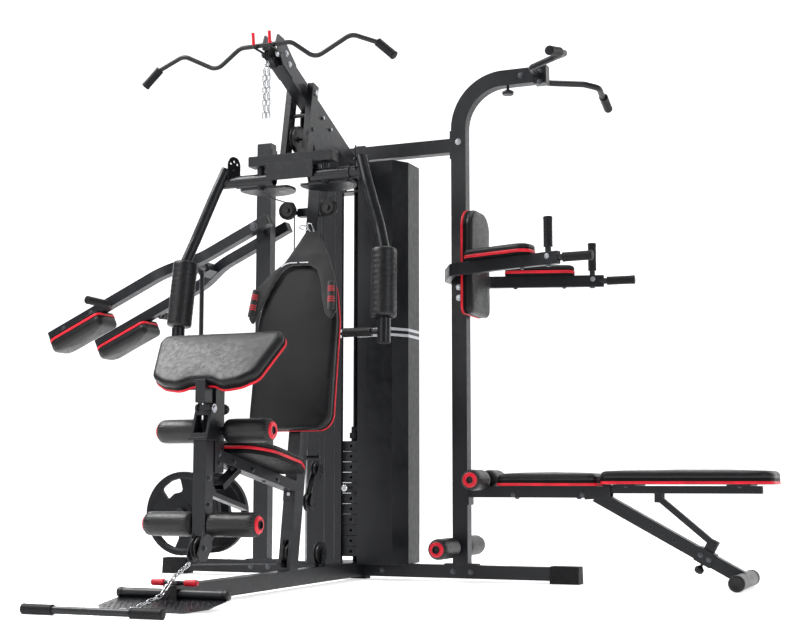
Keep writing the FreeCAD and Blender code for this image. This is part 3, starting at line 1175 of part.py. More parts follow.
foot_stubs = [rod("collar_stub_%d" % sign, 9, 6, (strut_foot.x, 17.9 if sign > 0 else -23.9,
                                                  strut_foot.z), (0, 1, 0)) for sign in (-1, 1)]
collar_knob = pull_knob("collar_knob", tuple(slide_at - leg_normal * 28), tuple(-leg_normal), 12)
node(fuse("bench_slider", [collar] + collar_lugs + foot_stubs + collar_knob))
strut_dir = (strut_foot - strut_top).normalize()
strut_tube = box_tube_between("strut_tube", 24, 24, tuple(strut_top - strut_dir * 10),
                              tuple(strut_foot + strut_dir * 12), (0, 1, 0))
node(drill("bench_strut", strut_tube, [(strut_top + V(0, -20, 0), (0, 1, 0), 40)], 6.06))

# ----------------------------------------------------------------------------------------
# Squat station on the left post
# ----------------------------------------------------------------------------------------
inner_y, outer_y = num("squat_inner_y"), num("squat_outer_y")
arm_size = num("squat_arm_size")


def squat_at(run, y=0.0, up=0.0):
    """A point along the squat arms, measured from their pivot."""
    return squat_pivot + squat_way * run + squat_up * up + V(0, y, 0)


squat_parts = [rod("squat_axle", 10, 2 * inner_y + 44, tuple(squat_at(0, -inner_y - 22)),
                   (0, 1, 0))]
hang_at = squat_at(364, 0, -10)
for sign in (-1, 1):
    squat_parts.append(bent_box_tube("squat_arm_%d" % sign, "squat_arm_size", "squat_arm_size", [
        tuple(squat_at(-70, sign * inner_y)), tuple(squat_at(300, sign * inner_y)),
        tuple(squat_at(460, sign * outer_y)), tuple(squat_at(1105, sign * outer_y))], 200,
        tuple(squat_up)))
    grip_start = V(-1151, sign * 200, 1200)
    grip_way = V(-26, sign * 144, 9).normalize()
    squat_parts.append(rod("squat_handle_%d" % sign, 12, 147, tuple(grip_start), tuple(grip_way)))
    squat_parts.append(rod("squat_grip_%d" % sign, 16, 122, tuple(grip_start + grip_way * 26),
                           tuple(grip_way)))
    squat_parts.append(box("squat_bridge_%d" % sign, (60, 109, 40),
                           tuple(squat_at(364, 125 if sign > 0 else -16, -20)
                                 - squat_way * 30), tuple(squat_way), tuple(squat_up)))
squat_parts.append(rod("squat_hang_pin", 8, 60, tuple(hang_at + V(0, -30, 0)), (0, 1, 0)))
node(fuse("squat_arms", squat_parts))
node(gather("squat_pads", [
    slab("squat_pad_%d" % sign, [(800, -75), (1100, -75), (1100, 75), (800, 75)], 75,
         tuple(squat_at(0, sign * outer_y, -arm_size / 2 - 75.4)), tuple(squat_way),
         tuple(squat_up), corner=[24, 50, 50, 24]) for sign in (-1, 1)]))
disc_x, disc_z = -num("disc_x"), num("disc_z")
hanger_low = disc_z - 34
hanger_parts = [
    rod("hanger_rod", 10, hang_at.z - hanger_low, (hang_at.x, 0, hanger_low)),
    cut("hanger_eye_cut", rod("hanger_eye", 15, 24, (hang_at.x, -12, hang_at.z), (0, 1, 0)),
        [rod("hanger_eye_bore", 8.06, 60, (hang_at.x, -30, hang_at.z), (0, 1, 0))]),
    box("hanger_saddle", (60, 90, 40), (hang_at.x - 30, -45, disc_z - 40)),
    rod("hanger_horn", 24, 2 * num("disc_y") + 76, (hang_at.x, -num("disc_y") - 38, disc_z),
        (0, 1, 0))]
rod_clear = rod("hanger_clear", 8.06, 60, (hang_at.x, -30, hang_at.z), (0, 1, 0))
node(cut("plate_hanger", fuse("hanger_blank", hanger_parts), [rod_clear]))
discs = []
for sign in (-1, 1):
    windows = []
    for k in range(3):
        middle = math.radians(116 + 120 * k)
        arc = [(157 * math.cos(middle + t), 157 * math.sin(middle + t)) for t in
               (-0.36, 0.0, 0.36)]
        inner_arc = [(96 * math.cos(middle + t), 96 * math.sin(middle + t)) for t in
                     (0.48, 0.0, -0.48)]
        windows.append(slab("disc_window_%d_%d" % (sign, k), arc + inner_arc, 60,
                            (hang_at.x, 30 + sign * num("disc_y"), disc_z), (1, 0, 0),
                            (0, -1, 0), corner=14))
    rim = num("disc_radius")
    body = turned("disc_body_%d" % sign, [(24.4, 0), (52, 0), (52, 4), (rim - 31, 6),
                                          (rim - 21, 0), (rim - 3, 0), (rim, 4), (rim, 28),
                                          (rim - 3, 32), (rim - 21, 32), (rim - 31, 26),
                                          (52, 28), (52, 32), (24.4, 32)],
                  (hang_at.x, sign * num("disc_y") - 16, disc_z), (0, 1, 0))
    discs.append(cut("disc_%d" % sign, body, windows))
node(gather("grip_weight_plates", discs))

# ----------------------------------------------------------------------------------------
# Frame bolts
# ----------------------------------------------------------------------------------------
bolts = []
for i, (place_at, _) in enumerate(gusset_bolts):
    bolts += bolt("gusset_bolt_%d" % i, tuple(place_at + V(-31.2, 0, 0)), (1, 0, 0), 62.4)
bolts += bolt("seat_bolt", tuple(upright_at(353, 40.2)), tuple(-upright_face), 75.4)
bolts += bolt("press_pivot_bolt", tuple(press_pivot + V(-59.5, 0, 0)), (1, 0, 0), 119, 13, 8)
node(gather("frame_bolts", bolts))

# ----------------------------------------------------------------------------------------
# Checks and export
# ----------------------------------------------------------------------------------------
os.makedirs("parts", exist_ok=True)
doc.recompute()
for obj in doc.Objects:
    if any(state in obj.State for state in ("Invalid", "Error")):
        raise ValueError("%s did not recompute: %s" % (obj.Label, obj.State))
for obj in NODES:
    if obj.Shape.isNull() or not obj.Shape.isValid():
        raise ValueError("%s has no valid shape" % obj.Label)
for obj in NODES:
    obj.Shape.exportStep("parts/%s.step" % obj.Label)
    bounds = obj.Shape.BoundBox
    print("%-24s %d solids  X %.0f..%.0f  Y %.0f..%.0f  Z %.0f..%.0f" % (
        obj.Label, len(obj.Shape.Solids), bounds.XMin, bounds.XMax, bounds.YMin, bounds.YMax,
        bounds.ZMin, bounds.ZMax))
print("%d nodes" % len(NODES))
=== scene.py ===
"""Looks of the multi station home gym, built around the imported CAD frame. Metres throughout."""
import math

import bmesh
import bpy
from mathutils import Matrix, Vector, geometry, noise


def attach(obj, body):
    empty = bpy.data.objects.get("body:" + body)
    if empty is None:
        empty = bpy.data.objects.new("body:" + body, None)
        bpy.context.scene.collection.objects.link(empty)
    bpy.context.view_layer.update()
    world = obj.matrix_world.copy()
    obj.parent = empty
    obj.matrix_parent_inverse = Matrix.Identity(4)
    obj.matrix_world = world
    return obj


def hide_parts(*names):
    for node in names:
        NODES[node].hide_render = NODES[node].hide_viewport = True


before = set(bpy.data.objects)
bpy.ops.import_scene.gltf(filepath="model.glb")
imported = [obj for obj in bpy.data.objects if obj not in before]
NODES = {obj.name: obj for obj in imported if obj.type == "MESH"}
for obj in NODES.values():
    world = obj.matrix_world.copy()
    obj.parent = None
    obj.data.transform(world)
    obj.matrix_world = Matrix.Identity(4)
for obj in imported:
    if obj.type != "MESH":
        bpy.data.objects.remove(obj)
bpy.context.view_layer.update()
MM = 0.001
NOISE_LOW, NOISE_HIGH = 0.3, 0.7        # where nearly all of a noise texture's values lie
BEVEL_SAMPLES = 4


def add_object(name, data):
    """A new object in the scene."""
    made = bpy.data.objects.new(name, data)
    bpy.context.scene.collection.objects.link(made)
    return made


# ---- Materials ----

class Shader:
    """A small helper around one procedural material."""

    def __init__(self, name, rough=0.5, metallic=0.0, **sockets):
        self.material = bpy.data.materials.new(name)
        self.material.use_nodes = True
        self.tree = self.material.node_tree
        self.bsdf = self.tree.nodes["Principled BSDF"]
        self.bsdf.inputs["Roughness"].default_value = rough
        self.bsdf.inputs["Metallic"].default_value = metallic
        for socket, value in sockets.items():
            self.bsdf.inputs[socket.replace("_", " ")].default_value = value
        self.coords = self.node("ShaderNodeTexCoord").outputs["Object"]

    def node(self, kind, **inputs):
        made = self.tree.nodes.new(kind)
        for key, value in inputs.items():
            self.put(made.inputs[key.replace("_", " ")], value)
        return made

    def put(self, socket, value):
        if isinstance(value, bpy.types.NodeSocket):
            self.tree.links.new(value, socket)
        else:
            socket.default_value = value

    def noise(self, scale, detail=3.0, rough=0.5, stretch=None):
        vector = self.coords
        if stretch is not None:
            mapping = self.node("ShaderNodeMapping", Vector=self.coords)
            mapping.inputs["Scale"].default_value = stretch
            vector = mapping.outputs["Vector"]
        made = self.node("ShaderNodeTexNoise", Vector=vector, Scale=scale, Detail=detail,
                         Roughness=rough)
        return made.outputs["Fac"]

    def cells(self, scale):
        made = self.node("ShaderNodeTexVoronoi", Vector=self.coords, Scale=scale)
        made.feature = "SMOOTH_F1"
        return made.outputs["Distance"]

    def ramp(self, factor, stops):
        made = self.node("ShaderNodeValToRGB", Fac=factor)
        points = made.color_ramp.elements
        points[0].position, points[0].color = stops[0][0], (*stops[0][1], 1)
        points[1].position, points[1].color = stops[-1][0], (*stops[-1][1], 1)
        for place, colour in stops[1:-1]:
            points.new(place).color = (*colour, 1)
        return made.outputs["Color"]

    def mottle(self, base, scale, detail, dark, light):
        """The base colour, varied by noise between two of its own tints."""
        return self.ramp(self.noise(scale, detail),
                         [(NOISE_LOW, tint(base, dark)), (NOISE_HIGH, tint(base, light))])

    def span(self, factor, low, high):
        """Noise stretched over a range of values."""
        made = self.node("ShaderNodeMapRange", Value=factor)
        made.inputs["From Min"].default_value = NOISE_LOW
        made.inputs["From Max"].default_value = NOISE_HIGH
        made.inputs["To Min"].default_value = low
        made.inputs["To Max"].default_value = high
        return made.outputs["Result"]

    def colour(self, value):
        self.put(self.bsdf.inputs["Base Color"], value)

    def roughness(self, value):
        self.put(self.bsdf.inputs["Roughness"], value)

    def bevel(self, radius):
        """The surface normal with its edges rounded by a radius."""
        made = self.node("ShaderNodeBevel", Radius=radius)
        made.samples = BEVEL_SAMPLES
        return made.outputs["Normal"]

    def bumps(self, *layers, edge=0.0):
        """Bump layers of (height, strength, distance), over edges rounded by a radius."""
        normal = self.bevel(edge) if edge else None
        for height, strength, distance in layers:
            bump = self.node("ShaderNodeBump", Height=height, Strength=strength,
                             Distance=distance)
            if normal is not None:
                self.put(bump.inputs["Normal"], normal)
            normal = bump.outputs["Normal"]
        self.put(self.bsdf.inputs["Normal"], normal)

    def edge_wear_and_highlight(self, base, bare_and_highlit, radius=0.003):
        """Base colour that lightens along edges: partly where the coat is thin, partly a painted
        highlight.
        """
        rounded = self.bevel(radius)
        flat = self.node("ShaderNodeNewGeometry").outputs["Normal"]
        dot = self.node("ShaderNodeVectorMath")
        dot.operation = "DOT_PRODUCT"
        self.put(dot.inputs[0], rounded)
        self.put(dot.inputs[1], flat)
        edge = self.node("ShaderNodeMapRange", Value=dot.outputs["Value"])
        edge.inputs["From Min"].default_value = 0.97
        edge.inputs["From Max"].default_value = 0.75
        edge.inputs["To Max"].default_value = 0.7
        mix = self.node("ShaderNodeMix", Factor=edge.outputs["Result"])
        mix.data_type = "RGBA"
        first, second, mixed = mix.inputs[6], mix.inputs[7], mix.outputs[2]     # the RGBA ones
        self.put(first, base)
        second.default_value = (*bare_and_highlit, 1)
        return mixed


def tint(colour, factor):
    """A colour made darker or lighter."""
    return tuple(c * factor for c in colour)


def powder_coat(name, base, rough=0.36):
    """Satin powder coat: fine orange peel, faint cloudiness, lighter along edges where the coat is
    thinner and as a painted edge highlight.
    """
    s = Shader(name, rough, Specular_IOR_Level=0.34)
    cloud = s.ramp(s.noise(5.0, 4.0), [(0.35, tint(base, 0.82)), (0.65, tint(base, 1.2))])
    # Edges lighten towards four times the base: partly thin coat, partly painted highlight.
    s.colour(s.edge_wear_and_highlight(cloud, tint(base, 4.0)))
    s.roughness(s.span(s.noise(38.0, 5.0), rough - 0.05, rough + 0.08))
    s.bumps((s.noise(1500.0, 2.0), 0.16, 0.0004), (s.noise(420.0, 2.0), 0.06, 0.0006),
            edge=0.0016)
    return s.material


def vinyl(name, base, rough=0.42, grain=620.0, specular=0.28):
    """Upholstery vinyl: pebbled grain, soft creasing and an uneven sheen."""
    s = Shader(name, rough, Specular_IOR_Level=specular)
    s.colour(s.mottle(base, 16.0, 5.0, 0.75, 1.3))
    s.roughness(s.span(s.noise(60.0, 4.0), rough - 0.07, rough + 0.09))
    s.bumps((s.cells(grain), 0.42, 0.0007), (s.noise(2400.0, 2.0), 0.16, 0.0003),
            (s.noise(9.0, 2.0), 0.2, 0.0020))
    return s.material


def foam(name, base):
    """Closed-cell foam in a smooth skin, with shallow dents and fine rings."""
    s = Shader(name, 0.4, Specular_IOR_Level=0.4)
    s.colour(s.mottle(base, 40.0, 5.0, 0.7, 1.35))
    s.roughness(s.span(s.noise(90.0, 4.0), 0.33, 0.5))
    s.bumps((s.noise(900.0, 4.0), 0.28, 0.0006), (s.noise(36.0, 3.0), 0.35, 0.003))
    return s.material


def rubber(name, base, rough=0.62):
    """Matt rubber with a fine grain."""
    s = Shader(name, rough, Specular_IOR_Level=0.2)
    s.colour(s.mottle(base, 55.0, 6.0, 0.7, 1.45))
    s.roughness(s.span(s.noise(120.0, 4.0), rough - 0.08, rough + 0.1))
    s.bumps((s.noise(1300.0, 4.0), 0.35, 0.0006), edge=0.001)
    return s.material


def plated(name, base, rough=0.18, metallic=1.0):
    """Bright plated steel with drawn lines and fine scratches."""
    s = Shader(name, rough, metallic)
    s.colour(s.mottle(base, 70.0, 4.0, 0.8, 1.0))
    s.roughness(s.span(s.noise(260.0, 6.0), rough - 0.06, rough + 0.14))
    s.bumps((s.noise(1800.0, 4.0, stretch=(1, 1, 0.1)), 0.12, 0.0003), edge=0.0006)
    return s.material


def casting(name, base, rough=0.6):
    """Painted cast iron: sand texture under a thin coat."""
    s = Shader(name, rough, 0.15, Specular_IOR_Level=0.3)
    # Edges lighten towards 2.4 times the base: partly worn coat, partly painted highlight.
    s.colour(s.edge_wear_and_highlight(s.mottle(base, 30.0, 6.0, 0.7, 1.4), tint(base, 2.4), 0.002))
    s.roughness(s.span(s.noise(150.0, 5.0), rough - 0.1, rough + 0.1))
    s.bumps((s.noise(700.0, 6.0, 0.7), 0.5, 0.0009), edge=0.0015)
    return s.material


def plastic(name, base, rough=0.4):
    """Moulded plastic with a faint texture."""
    s = Shader(name, rough, Specular_IOR_Level=0.35)
    s.colour(s.mottle(base, 45.0, 4.0, 0.85, 1.15))
    s.roughness(s.span(s.noise(200.0, 4.0), rough - 0.06, rough + 0.08))
    s.bumps((s.noise(1600.0, 3.0), 0.14, 0.0003), edge=0.0008)
    return s.material


def woven(name, base, pitch=0.0011, rough=0.85):
    """Webbing: two crossed sets of threads with fuzz between them."""
    s = Shader(name, rough, Sheen_Weight=0.35, Sheen_Roughness=0.5)
    wave_period = 0.314             # of a wave texture at a scale of 1
    waves = []
    for axis in ("X", "Z"):
        wave = s.node("ShaderNodeTexWave", Vector=s.coords, Scale=wave_period / pitch)
        wave.bands_direction = axis
        waves.append(wave.outputs["Fac"])
    both = s.node("ShaderNodeMath")
    both.operation = "MULTIPLY"
    s.put(both.inputs[0], waves[0])
    s.put(both.inputs[1], waves[1])
    s.colour(s.ramp(both.outputs[0], [(0.0, tint(base, 0.55)), (1.0, tint(base, 1.5))]))
    s.bumps((both.outputs[0], 0.6, 0.0008), (s.noise(1500.0, 4.0), 0.3, 0.0005))
    return s.material


def strand(name, base):
    """Coated wire rope whose lay shows faintly through the sheath."""
    s = Shader(name, 0.35, Coat_Weight=0.3, Coat_Roughness=0.2)
    s.colour(s.mottle(base, 300.0, 4.0, 0.7, 1.5))
    wave = s.node("ShaderNodeTexWave", Vector=s.coords, Scale=120.0, Distortion=0.4)
    wave.bands_direction = "DIAGONAL"
    s.bumps((wave.outputs["Fac"], 0.3, 0.0004))
    return s.material


COAT = powder_coat("frame_powder_coat", (0.0078, 0.0082, 0.0104), 0.34)
COAT_DARK = powder_coat("arm_powder_coat", (0.0052, 0.0055, 0.0070), 0.30)
SHEET = powder_coat("shroud_powder_coat", (0.0034, 0.0037, 0.0054), 0.38)
VINYL = vinyl("black_vinyl", (0.0048, 0.0048, 0.0058), 0.38)
# The same black vinyl, made darker and duller for the cushions' sides and undersides: painted
# shade.
VINYL_SIDE_PAINTED_SHADE = vinyl("black_vinyl_side_painted_shade", (0.0026, 0.0026, 0.0032), 0.48, specular=0.10)
VINYL_RED = vinyl("red_vinyl", (0.60, 0.008, 0.022), 0.38, 900.0)
FOAM = foam("black_foam_skin", (0.0044, 0.0045, 0.0054))
RED = plastic("red_plastic", (0.62, 0.008, 0.024), 0.32)
BLACK = plastic("black_plastic", (0.0052, 0.0052, 0.0060), 0.42)
PULLEY = plastic("pulley_nylon", (0.0070, 0.0072, 0.0082), 0.34)
RUBBER = rubber("moulded_rubber", (0.0075, 0.0075, 0.0085))
GRIP = rubber("grip_rubber", (0.0060, 0.0060, 0.0070), 0.5)
CHROME = plated("chrome_plate", (0.62, 0.63, 0.65), 0.16)
ZINC = plated("zinc_plate", (0.46, 0.47, 0.50), 0.28)
BOLT_DARK = plated("black_oxide", (0.10, 0.105, 0.115), 0.34)
IRON = casting("stack_iron", (0.014, 0.0145, 0.0165))
PLATE_COAT = rubber("coated_plate", (0.0036, 0.0039, 0.0052), 0.46)
CABLE = strand("cable_sheath", (0.0065, 0.0065, 0.0072))
WEB = woven("black_webbing", (0.0085, 0.0085, 0.0098))
WEB_RED = woven("red_webbing", (0.6, 0.016, 0.03))
WHITE = plastic("white_piping", (0.72, 0.72, 0.74), 0.45)
SILVER = plated("silver_stripe", (0.60, 0.61, 0.64), 0.42, 0.7)
# Painted shade: a near-black disc drawn where a hole's shaded inside would show.
HOLE_SHADE = plastic("painted_hole_shade", (0.004, 0.004, 0.0045), 0.8)

SURFACES = {
    COAT: "main_base_beam cross_base_beam main_upright lat_boom rear_frame left_post right_post "
          "joint_plates seat_beam front_upright leg_arm preacher_post foot_plate vkr_frame "
          "bench_frame bench_back_rail bench_slider bench_strut squat_arms plate_hanger bar_rests",
    COAT_DARK: "press_frame press_arm_left press_arm_right lat_bar low_bar pullup_bar "
               "pulley_brackets",
    SHEET: "shroud_left shroud_right",
    IRON: "resting_weight_plates lifted_weight_plates",
    PLATE_COAT: "grip_weight_plates",
    CHROME: "guide_rods selector_pin chains_and_clips",
    ZINC: "frame_bolts",
    RUBBER: "rubber_feet",
    PULLEY: "boom_pulley press_pulley slot_pulley floor_pulley low_pulley left_fly_pulley "
            "right_fly_pulley",
    BLACK: "preacher_knob",
    CABLE: "steel_cables",
    FOAM: "leg_rollers fixed_foam_rollers arm_foam_left arm_foam_right",
    VINYL: "seat_pad backrest_pad preacher_pad vkr_back_pad vkr_arm_pads bench_seat_pad "
           "bench_back_pad squat_pads",
    WEB: "harness",
}
for surface, names in SURFACES.items():
    for label in names.split():
        slots = NODES[label].material_slots
        if not slots:
            NODES[label].data.materials.append(surface)
        for one in slots:
            one.material = surface


# ---- Mesh builders ----

def mesh_piece(name, verts, faces, body, materials, indices=None, smooth=True):
    """A mesh from lists of corners and faces, riding on a body."""
    data = bpy.data.meshes.new(name)
    data.from_pydata([tuple(v) for v in verts], [], faces)
    for surface in materials:
        data.materials.append(surface)
    if indices is not None:
        data.polygons.foreach_set("material_index", indices)
    data.polygons.foreach_set("use_smooth", [smooth] * len(data.polygons))
    data.update()
    made = add_object(name, data)
    tidy = bmesh.new()
    tidy.from_mesh(data)
    bmesh.ops.remove_doubles(tidy, verts=tidy.verts, dist=1e-6)
    bmesh.ops.recalc_face_normals(tidy, faces=tidy.faces)
    tidy.to_mesh(data)
    tidy.free()
    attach(made, body)
    return made


def axes(z_dir, x_dir=None):
    """A turn matrix whose Z lies along z_dir and whose X is as near x_dir as it can be."""
    z = Vector(z_dir).normalized()
    x = Vector(x_dir) if x_dir else (Vector((1, 0, 0)) if abs(z.x) < 0.9 else Vector((0, 1, 0)))
    y = z.cross(x).normalized()
    x = y.cross(z)
    return Matrix((x, y, z)).transposed()


def ring_faces(rings, count):
    """Quads between neighbouring rings of count corners each, ring after ring."""
    faces = []
    for row in range(rings - 1):
        for i in range(count):
            j = (i + 1) % count
            faces.append((row * count + i, row * count + j, (row + 1) * count + j,
                          (row + 1) * count + i))
    return faces


def lathe(name, profile, at, axis, body, materials, steps=48, bands=None, wobble=None):
    """A turned piece: (radius, height) in metres about an axis through a point."""
    turn = axes(axis)
    at = Vector(at)
    verts = []
    for row, (radius, height) in enumerate(profile):
        for i in range(steps):
            angle = 2 * math.pi * i / steps
            r = radius + (wobble(row, angle) if wobble else 0.0)
            verts.append(at + turn @ Vector((r * math.cos(angle), r * math.sin(angle), height)))
    faces = ring_faces(len(profile), steps)
    indices = [bands[k // steps] if bands else 0 for k in range(len(faces))]
    return mesh_piece(name, verts, faces, body, materials, indices)


def smooth_outline(corners, radii, step=0.006):
    """A closed outline sampled evenly: straight sides and rounded corners, in metres."""
    points = [Vector(c) for c in corners]
    line = []
    for i, corner in enumerate(points):
        back = (points[i - 1] - corner).normalized()
        on = (points[(i + 1) % len(points)] - corner).normalized()
        half = back.angle(on) / 2
        radius = radii[i] if isinstance(radii, (list, tuple)) else radii
        if radius < 1e-5 or half > math.pi / 2 - 1e-3:
            line.append(corner)
            continue
        reach = radius / math.tan(half)
        centre = corner + (back + on).normalized() * (radius / math.sin(half))
        start, end = corner + back * reach - centre, corner + on * reach - centre
        turn = start.angle_signed(end)
        count = max(3, int(abs(turn) * radius / step))
        for k in range(count + 1):
            spin = -turn * k / count
            line.append(centre + Vector((start.x * math.cos(spin) - start.y * math.sin(spin),
                                         start.x * math.sin(spin) + start.y * math.cos(spin))))
    dense = []
    for i, here in enumerate(line):
        following = line[(i + 1) % len(line)]
        gap = (following - here).length
        if gap < 1e-5:
            continue
        count = max(1, round(gap / step))
        dense += [here.lerp(following, k / count) for k in range(count)]
    return dense


def inset(line, distance):
    """The outline moved inwards along its own normals."""
    area = sum(a.x * b.y - b.x * a.y for a, b in zip(line, line[1:] + line[:1]))
    side = 1 if area > 0 else -1
    moved = []
    for i, here in enumerate(line):
        way = (line[(i + 1) % len(line)] - line[i - 1]).normalized()
        moved.append(here + Vector((-way.y, way.x)) * (side * distance))
    return moved


FACE, SIDE, BAND = 0, 1, 2      # material slots of a cushion; the side slot holds a darker copy of the vinyl as painted shade


def cushion(name, corners, radii, thick, at, x_dir, z_dir, body, node, crown=0.006,
            red=(0.10, 0.27), seam=0.52, seed=0.0):
    """An upholstered board: rolled edges, a sewn welt, a red band and a crowned face.

    Heights in red and seam are shares of the thickness. A row is (inset, height, slot).
    """
    outline = smooth_outline(corners, radii)
    turn = axes(z_dir, x_dir)
    at = Vector(at)
    low, high = red
    rows = [(0.010, 0.000, SIDE), (0.003, 0.0006, SIDE), (0.0012, 0.002, SIDE)]
    for share in (low - 0.015, low, low + 0.012, (low + high) / 2, high - 0.012, high,
                  high + 0.015):
        sunk = -0.0011 if low < share < high else 0.0007
        banded = low - 0.005 <= share < high - 0.005
        rows.append((sunk, share * thick, BAND if banded else SIDE))
    for share, pull in ((0.4, 0.0002), (seam - 0.03, 0.0004), (seam, 0.0022),
                        (seam + 0.03, 0.0002), (0.68, 0.0), (0.78, 0.0012), (0.87, 0.0042),
                        (0.93, 0.0090), (0.965, 0.0145), (0.985, 0.020)):
        if share > high + 0.03:
            rows.append((pull, share * thick - crown * 0.5, FACE if share >= seam else SIDE))
    rings = [[(p, height) for p in inset(outline, distance)] for distance, height, _ in rows]
    top = [p for p, _ in rings[-1]]
    middle = sum(top, Vector((0, 0))) / len(top)
    edge_height = rings[-1][0][1]
    for scale in (0.96, 0.92, 0.87, 0.81, 0.74, 0.66, 0.57, 0.47, 0.37, 0.27, 0.17, 0.08, 0.02):
        lift = edge_height + (thick + crown * 0.35 - edge_height) * (1 - scale ** 2.4)
        rings.append([(middle + (p - middle) * scale, lift) for p in top])
    verts = []
    for ring in rings:
        for p, height in ring:
            v = at + turn @ Vector((p.x, p.y, height))
            dent = noise.noise((v + Vector((seed, seed, seed))) * 9.0) * 0.0016
            weight = min(1.0, max(0.0, height / thick))
            verts.append(v + turn @ Vector((0, 0, dent * weight)))
    count = len(outline)
    faces = ring_faces(len(rings), count)
    indices = [rows[k // count][2] if k // count < len(rows) else FACE
               for k in range(len(faces))]
    under = len(verts)
    verts.append(sum(verts[:count], Vector()) / count)
    verts.append(sum(verts[under - count:under], Vector()) / count)
    for i in range(count):
        j = (i + 1) % count
        faces += [(j, i, under), (under - count + i, under - count + j, under + 1)]
        indices += [SIDE, FACE]
    # Sides and underside take the darker copy of the vinyl: painted shade on the faces that look
    # down.
    made = mesh_piece(name, verts, faces, body, [VINYL, VINYL_SIDE_PAINTED_SHADE, VINYL_RED], indices)
    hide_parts(node)
    return made


def tube_line(name, points, radius, body, surface, cyclic=False, bend=None):
    """A round bar along points, as a bevelled curve made into a mesh."""
    curve = bpy.data.curves.new(name, "CURVE")
    curve.dimensions = "3D"
    curve.bevel_depth = radius
    curve.bevel_resolution = 5
    curve.use_fill_caps = True
    spline = curve.splines.new("NURBS" if bend else "POLY")
    spline.points.add(len(points) - 1)
    for point, where in zip(spline.points, points):
        point.co = (*where, 1)
    spline.use_cyclic_u = cyclic
    if bend:
        spline.order_u = 3
        spline.use_endpoint_u = not cyclic
        spline.resolution_u = 10
    shell = add_object(name + "_line", curve)
    bpy.context.view_layer.update()
    data = bpy.data.meshes.new_from_object(shell)
    data.name = name
    bpy.data.objects.remove(shell)
    data.materials.clear()
    data.materials.append(surface)
    data.polygons.foreach_set("use_smooth", [True] * len(data.polygons))
    made = add_object(name, data)
    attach(made, body)
    return made


RIB_STEP, RIB_DEPTH = 0.0022, 0.0008


def grip(name, at, axis, length, inner, body, thick):
    """A ribbed rubber hand grip over a bar, closed at its free end by a rounded cap."""
    count = int(length / RIB_STEP)
    profile = [(inner, 0.0), (inner + thick, 0.0004), (inner + thick + 0.0012, 0.002)]
    for i in range(2, count - 1):
        wave = RIB_DEPTH * (0.5 + 0.5 * math.cos(i * math.pi)) if 3 < i < count - 5 else 0
        profile.append((inner + thick - wave + 0.0006, i * RIB_STEP))
    profile += [(inner + thick + 0.0014, length - 0.004), (inner + thick + 0.0008, length),
                (inner, length + 0.0014), (inner * 0.6, length + 0.0022),
                (0.0003, length + 0.0026)]
    return lathe(name, profile, at, axis, body, [GRIP], 36)


def bolt_head(name, at, axis, body, size, surface):
    """A hexagon head with a chamfered crown on a washer; size is the head's radius."""
    turn = axes(axis)
    at = Vector(at)
    verts = []
    steps = 24
    rows = [(size * 1.5, 0.0, False), (size * 1.5, 0.0012, False), (size * 1.25, 0.0015, False),
            (size, 0.0015, True), (size, 0.0048, True), (size * 0.88, 0.0060, False),
            (size * 0.4, 0.0062, False), (0.0002, 0.0062, False)]
    for radius, height, hexed in rows:
        for i in range(steps):
            angle = 2 * math.pi * i / steps
            r = radius
            if hexed:
                r = radius / math.cos((angle % (math.pi / 3)) - math.pi / 6) * 0.94
            verts.append(at + turn @ Vector((r * math.cos(angle), r * math.sin(angle), height)))
    return mesh_piece(name, verts, ring_faces(len(rows), steps), body, [surface], smooth=False)


PLUG_RIM = 0.00024              # how far a plug's rim stands out past the tube


def plug(name, at, x_dir, z_dir, wide, high, body, proud=0.004, corner=0.004):
    """A moulded cap in a tube's open end: a rounded rim and a dished middle."""
    turn = axes(z_dir, x_dir)
    at = Vector(at)
    x, y = wide / 2 + PLUG_RIM, high / 2 + PLUG_RIM
    line = smooth_outline([(-x, -y), (x, -y), (x, y), (-x, y)], corner, 0.003)
    rows = [(0.0, 0.0002), (-0.0002, proud * 0.6), (0.0015, proud), (0.005, proud),
            (0.0068, proud * 0.5)]
    count = len(line)
    verts = []
    for distance, height in rows:
        verts += [at + turn @ Vector((p.x, p.y, height)) for p in inset(line, distance)]
    faces = ring_faces(len(rows), count)
    faces.append(tuple(range((len(rows) - 1) * count, len(rows) * count)))
    return mesh_piece(name, verts, faces, body, [BLACK], smooth=False)


def bore(name, at, axis, radius, body):
    """A drilled adjustment hole: a bright countersunk lip round a flat disc of painted shade that
    stands in for the hole's depth.
    """
    profile = [(radius * 1.18, 0.0001), (radius * 1.12, 0.0005), (radius, 0.0004),
               (radius * 0.9, 0.00022), (0.0002, 0.0002)]
    return lathe(name, profile, at, axis, body, [BOLT_DARK, HOLE_SHADE], 28, bands=[0, 0, 1, 1])


# ---- Places shared with the frame ----

LEAN = math.radians(9.2)
UPRIGHT_WAY = Vector((0, math.sin(LEAN), math.cos(LEAN)))
UPRIGHT_FACE = Vector((0, -math.cos(LEAN), math.sin(LEAN)))
BOOM_RISE = math.radians(23)
BOOM_WAY = Vector((0, -math.cos(BOOM_RISE), math.sin(BOOM_RISE)))
BOOM_UP = Vector((0, math.sin(BOOM_RISE), math.cos(BOOM_RISE)))
SEAT_RISE = math.radians(10.4)
SEAT_WAY = Vector((0, -math.cos(SEAT_RISE), math.sin(SEAT_RISE)))
SEAT_UP = Vector((0, math.sin(SEAT_RISE), math.cos(SEAT_RISE)))
SQUAT_FALL = math.radians(24.6)
SQUAT_WAY = Vector((-math.cos(SQUAT_FALL), 0, -math.sin(SQUAT_FALL)))
SQUAT_UP = Vector((-math.sin(SQUAT_FALL), 0, math.cos(SQUAT_FALL)))
PAD_TILT = math.radians(41.4)
PAD_FACE = Vector((0, -math.cos(PAD_TILT), math.sin(PAD_TILT)))
LEG_FALL = math.radians(28.8)
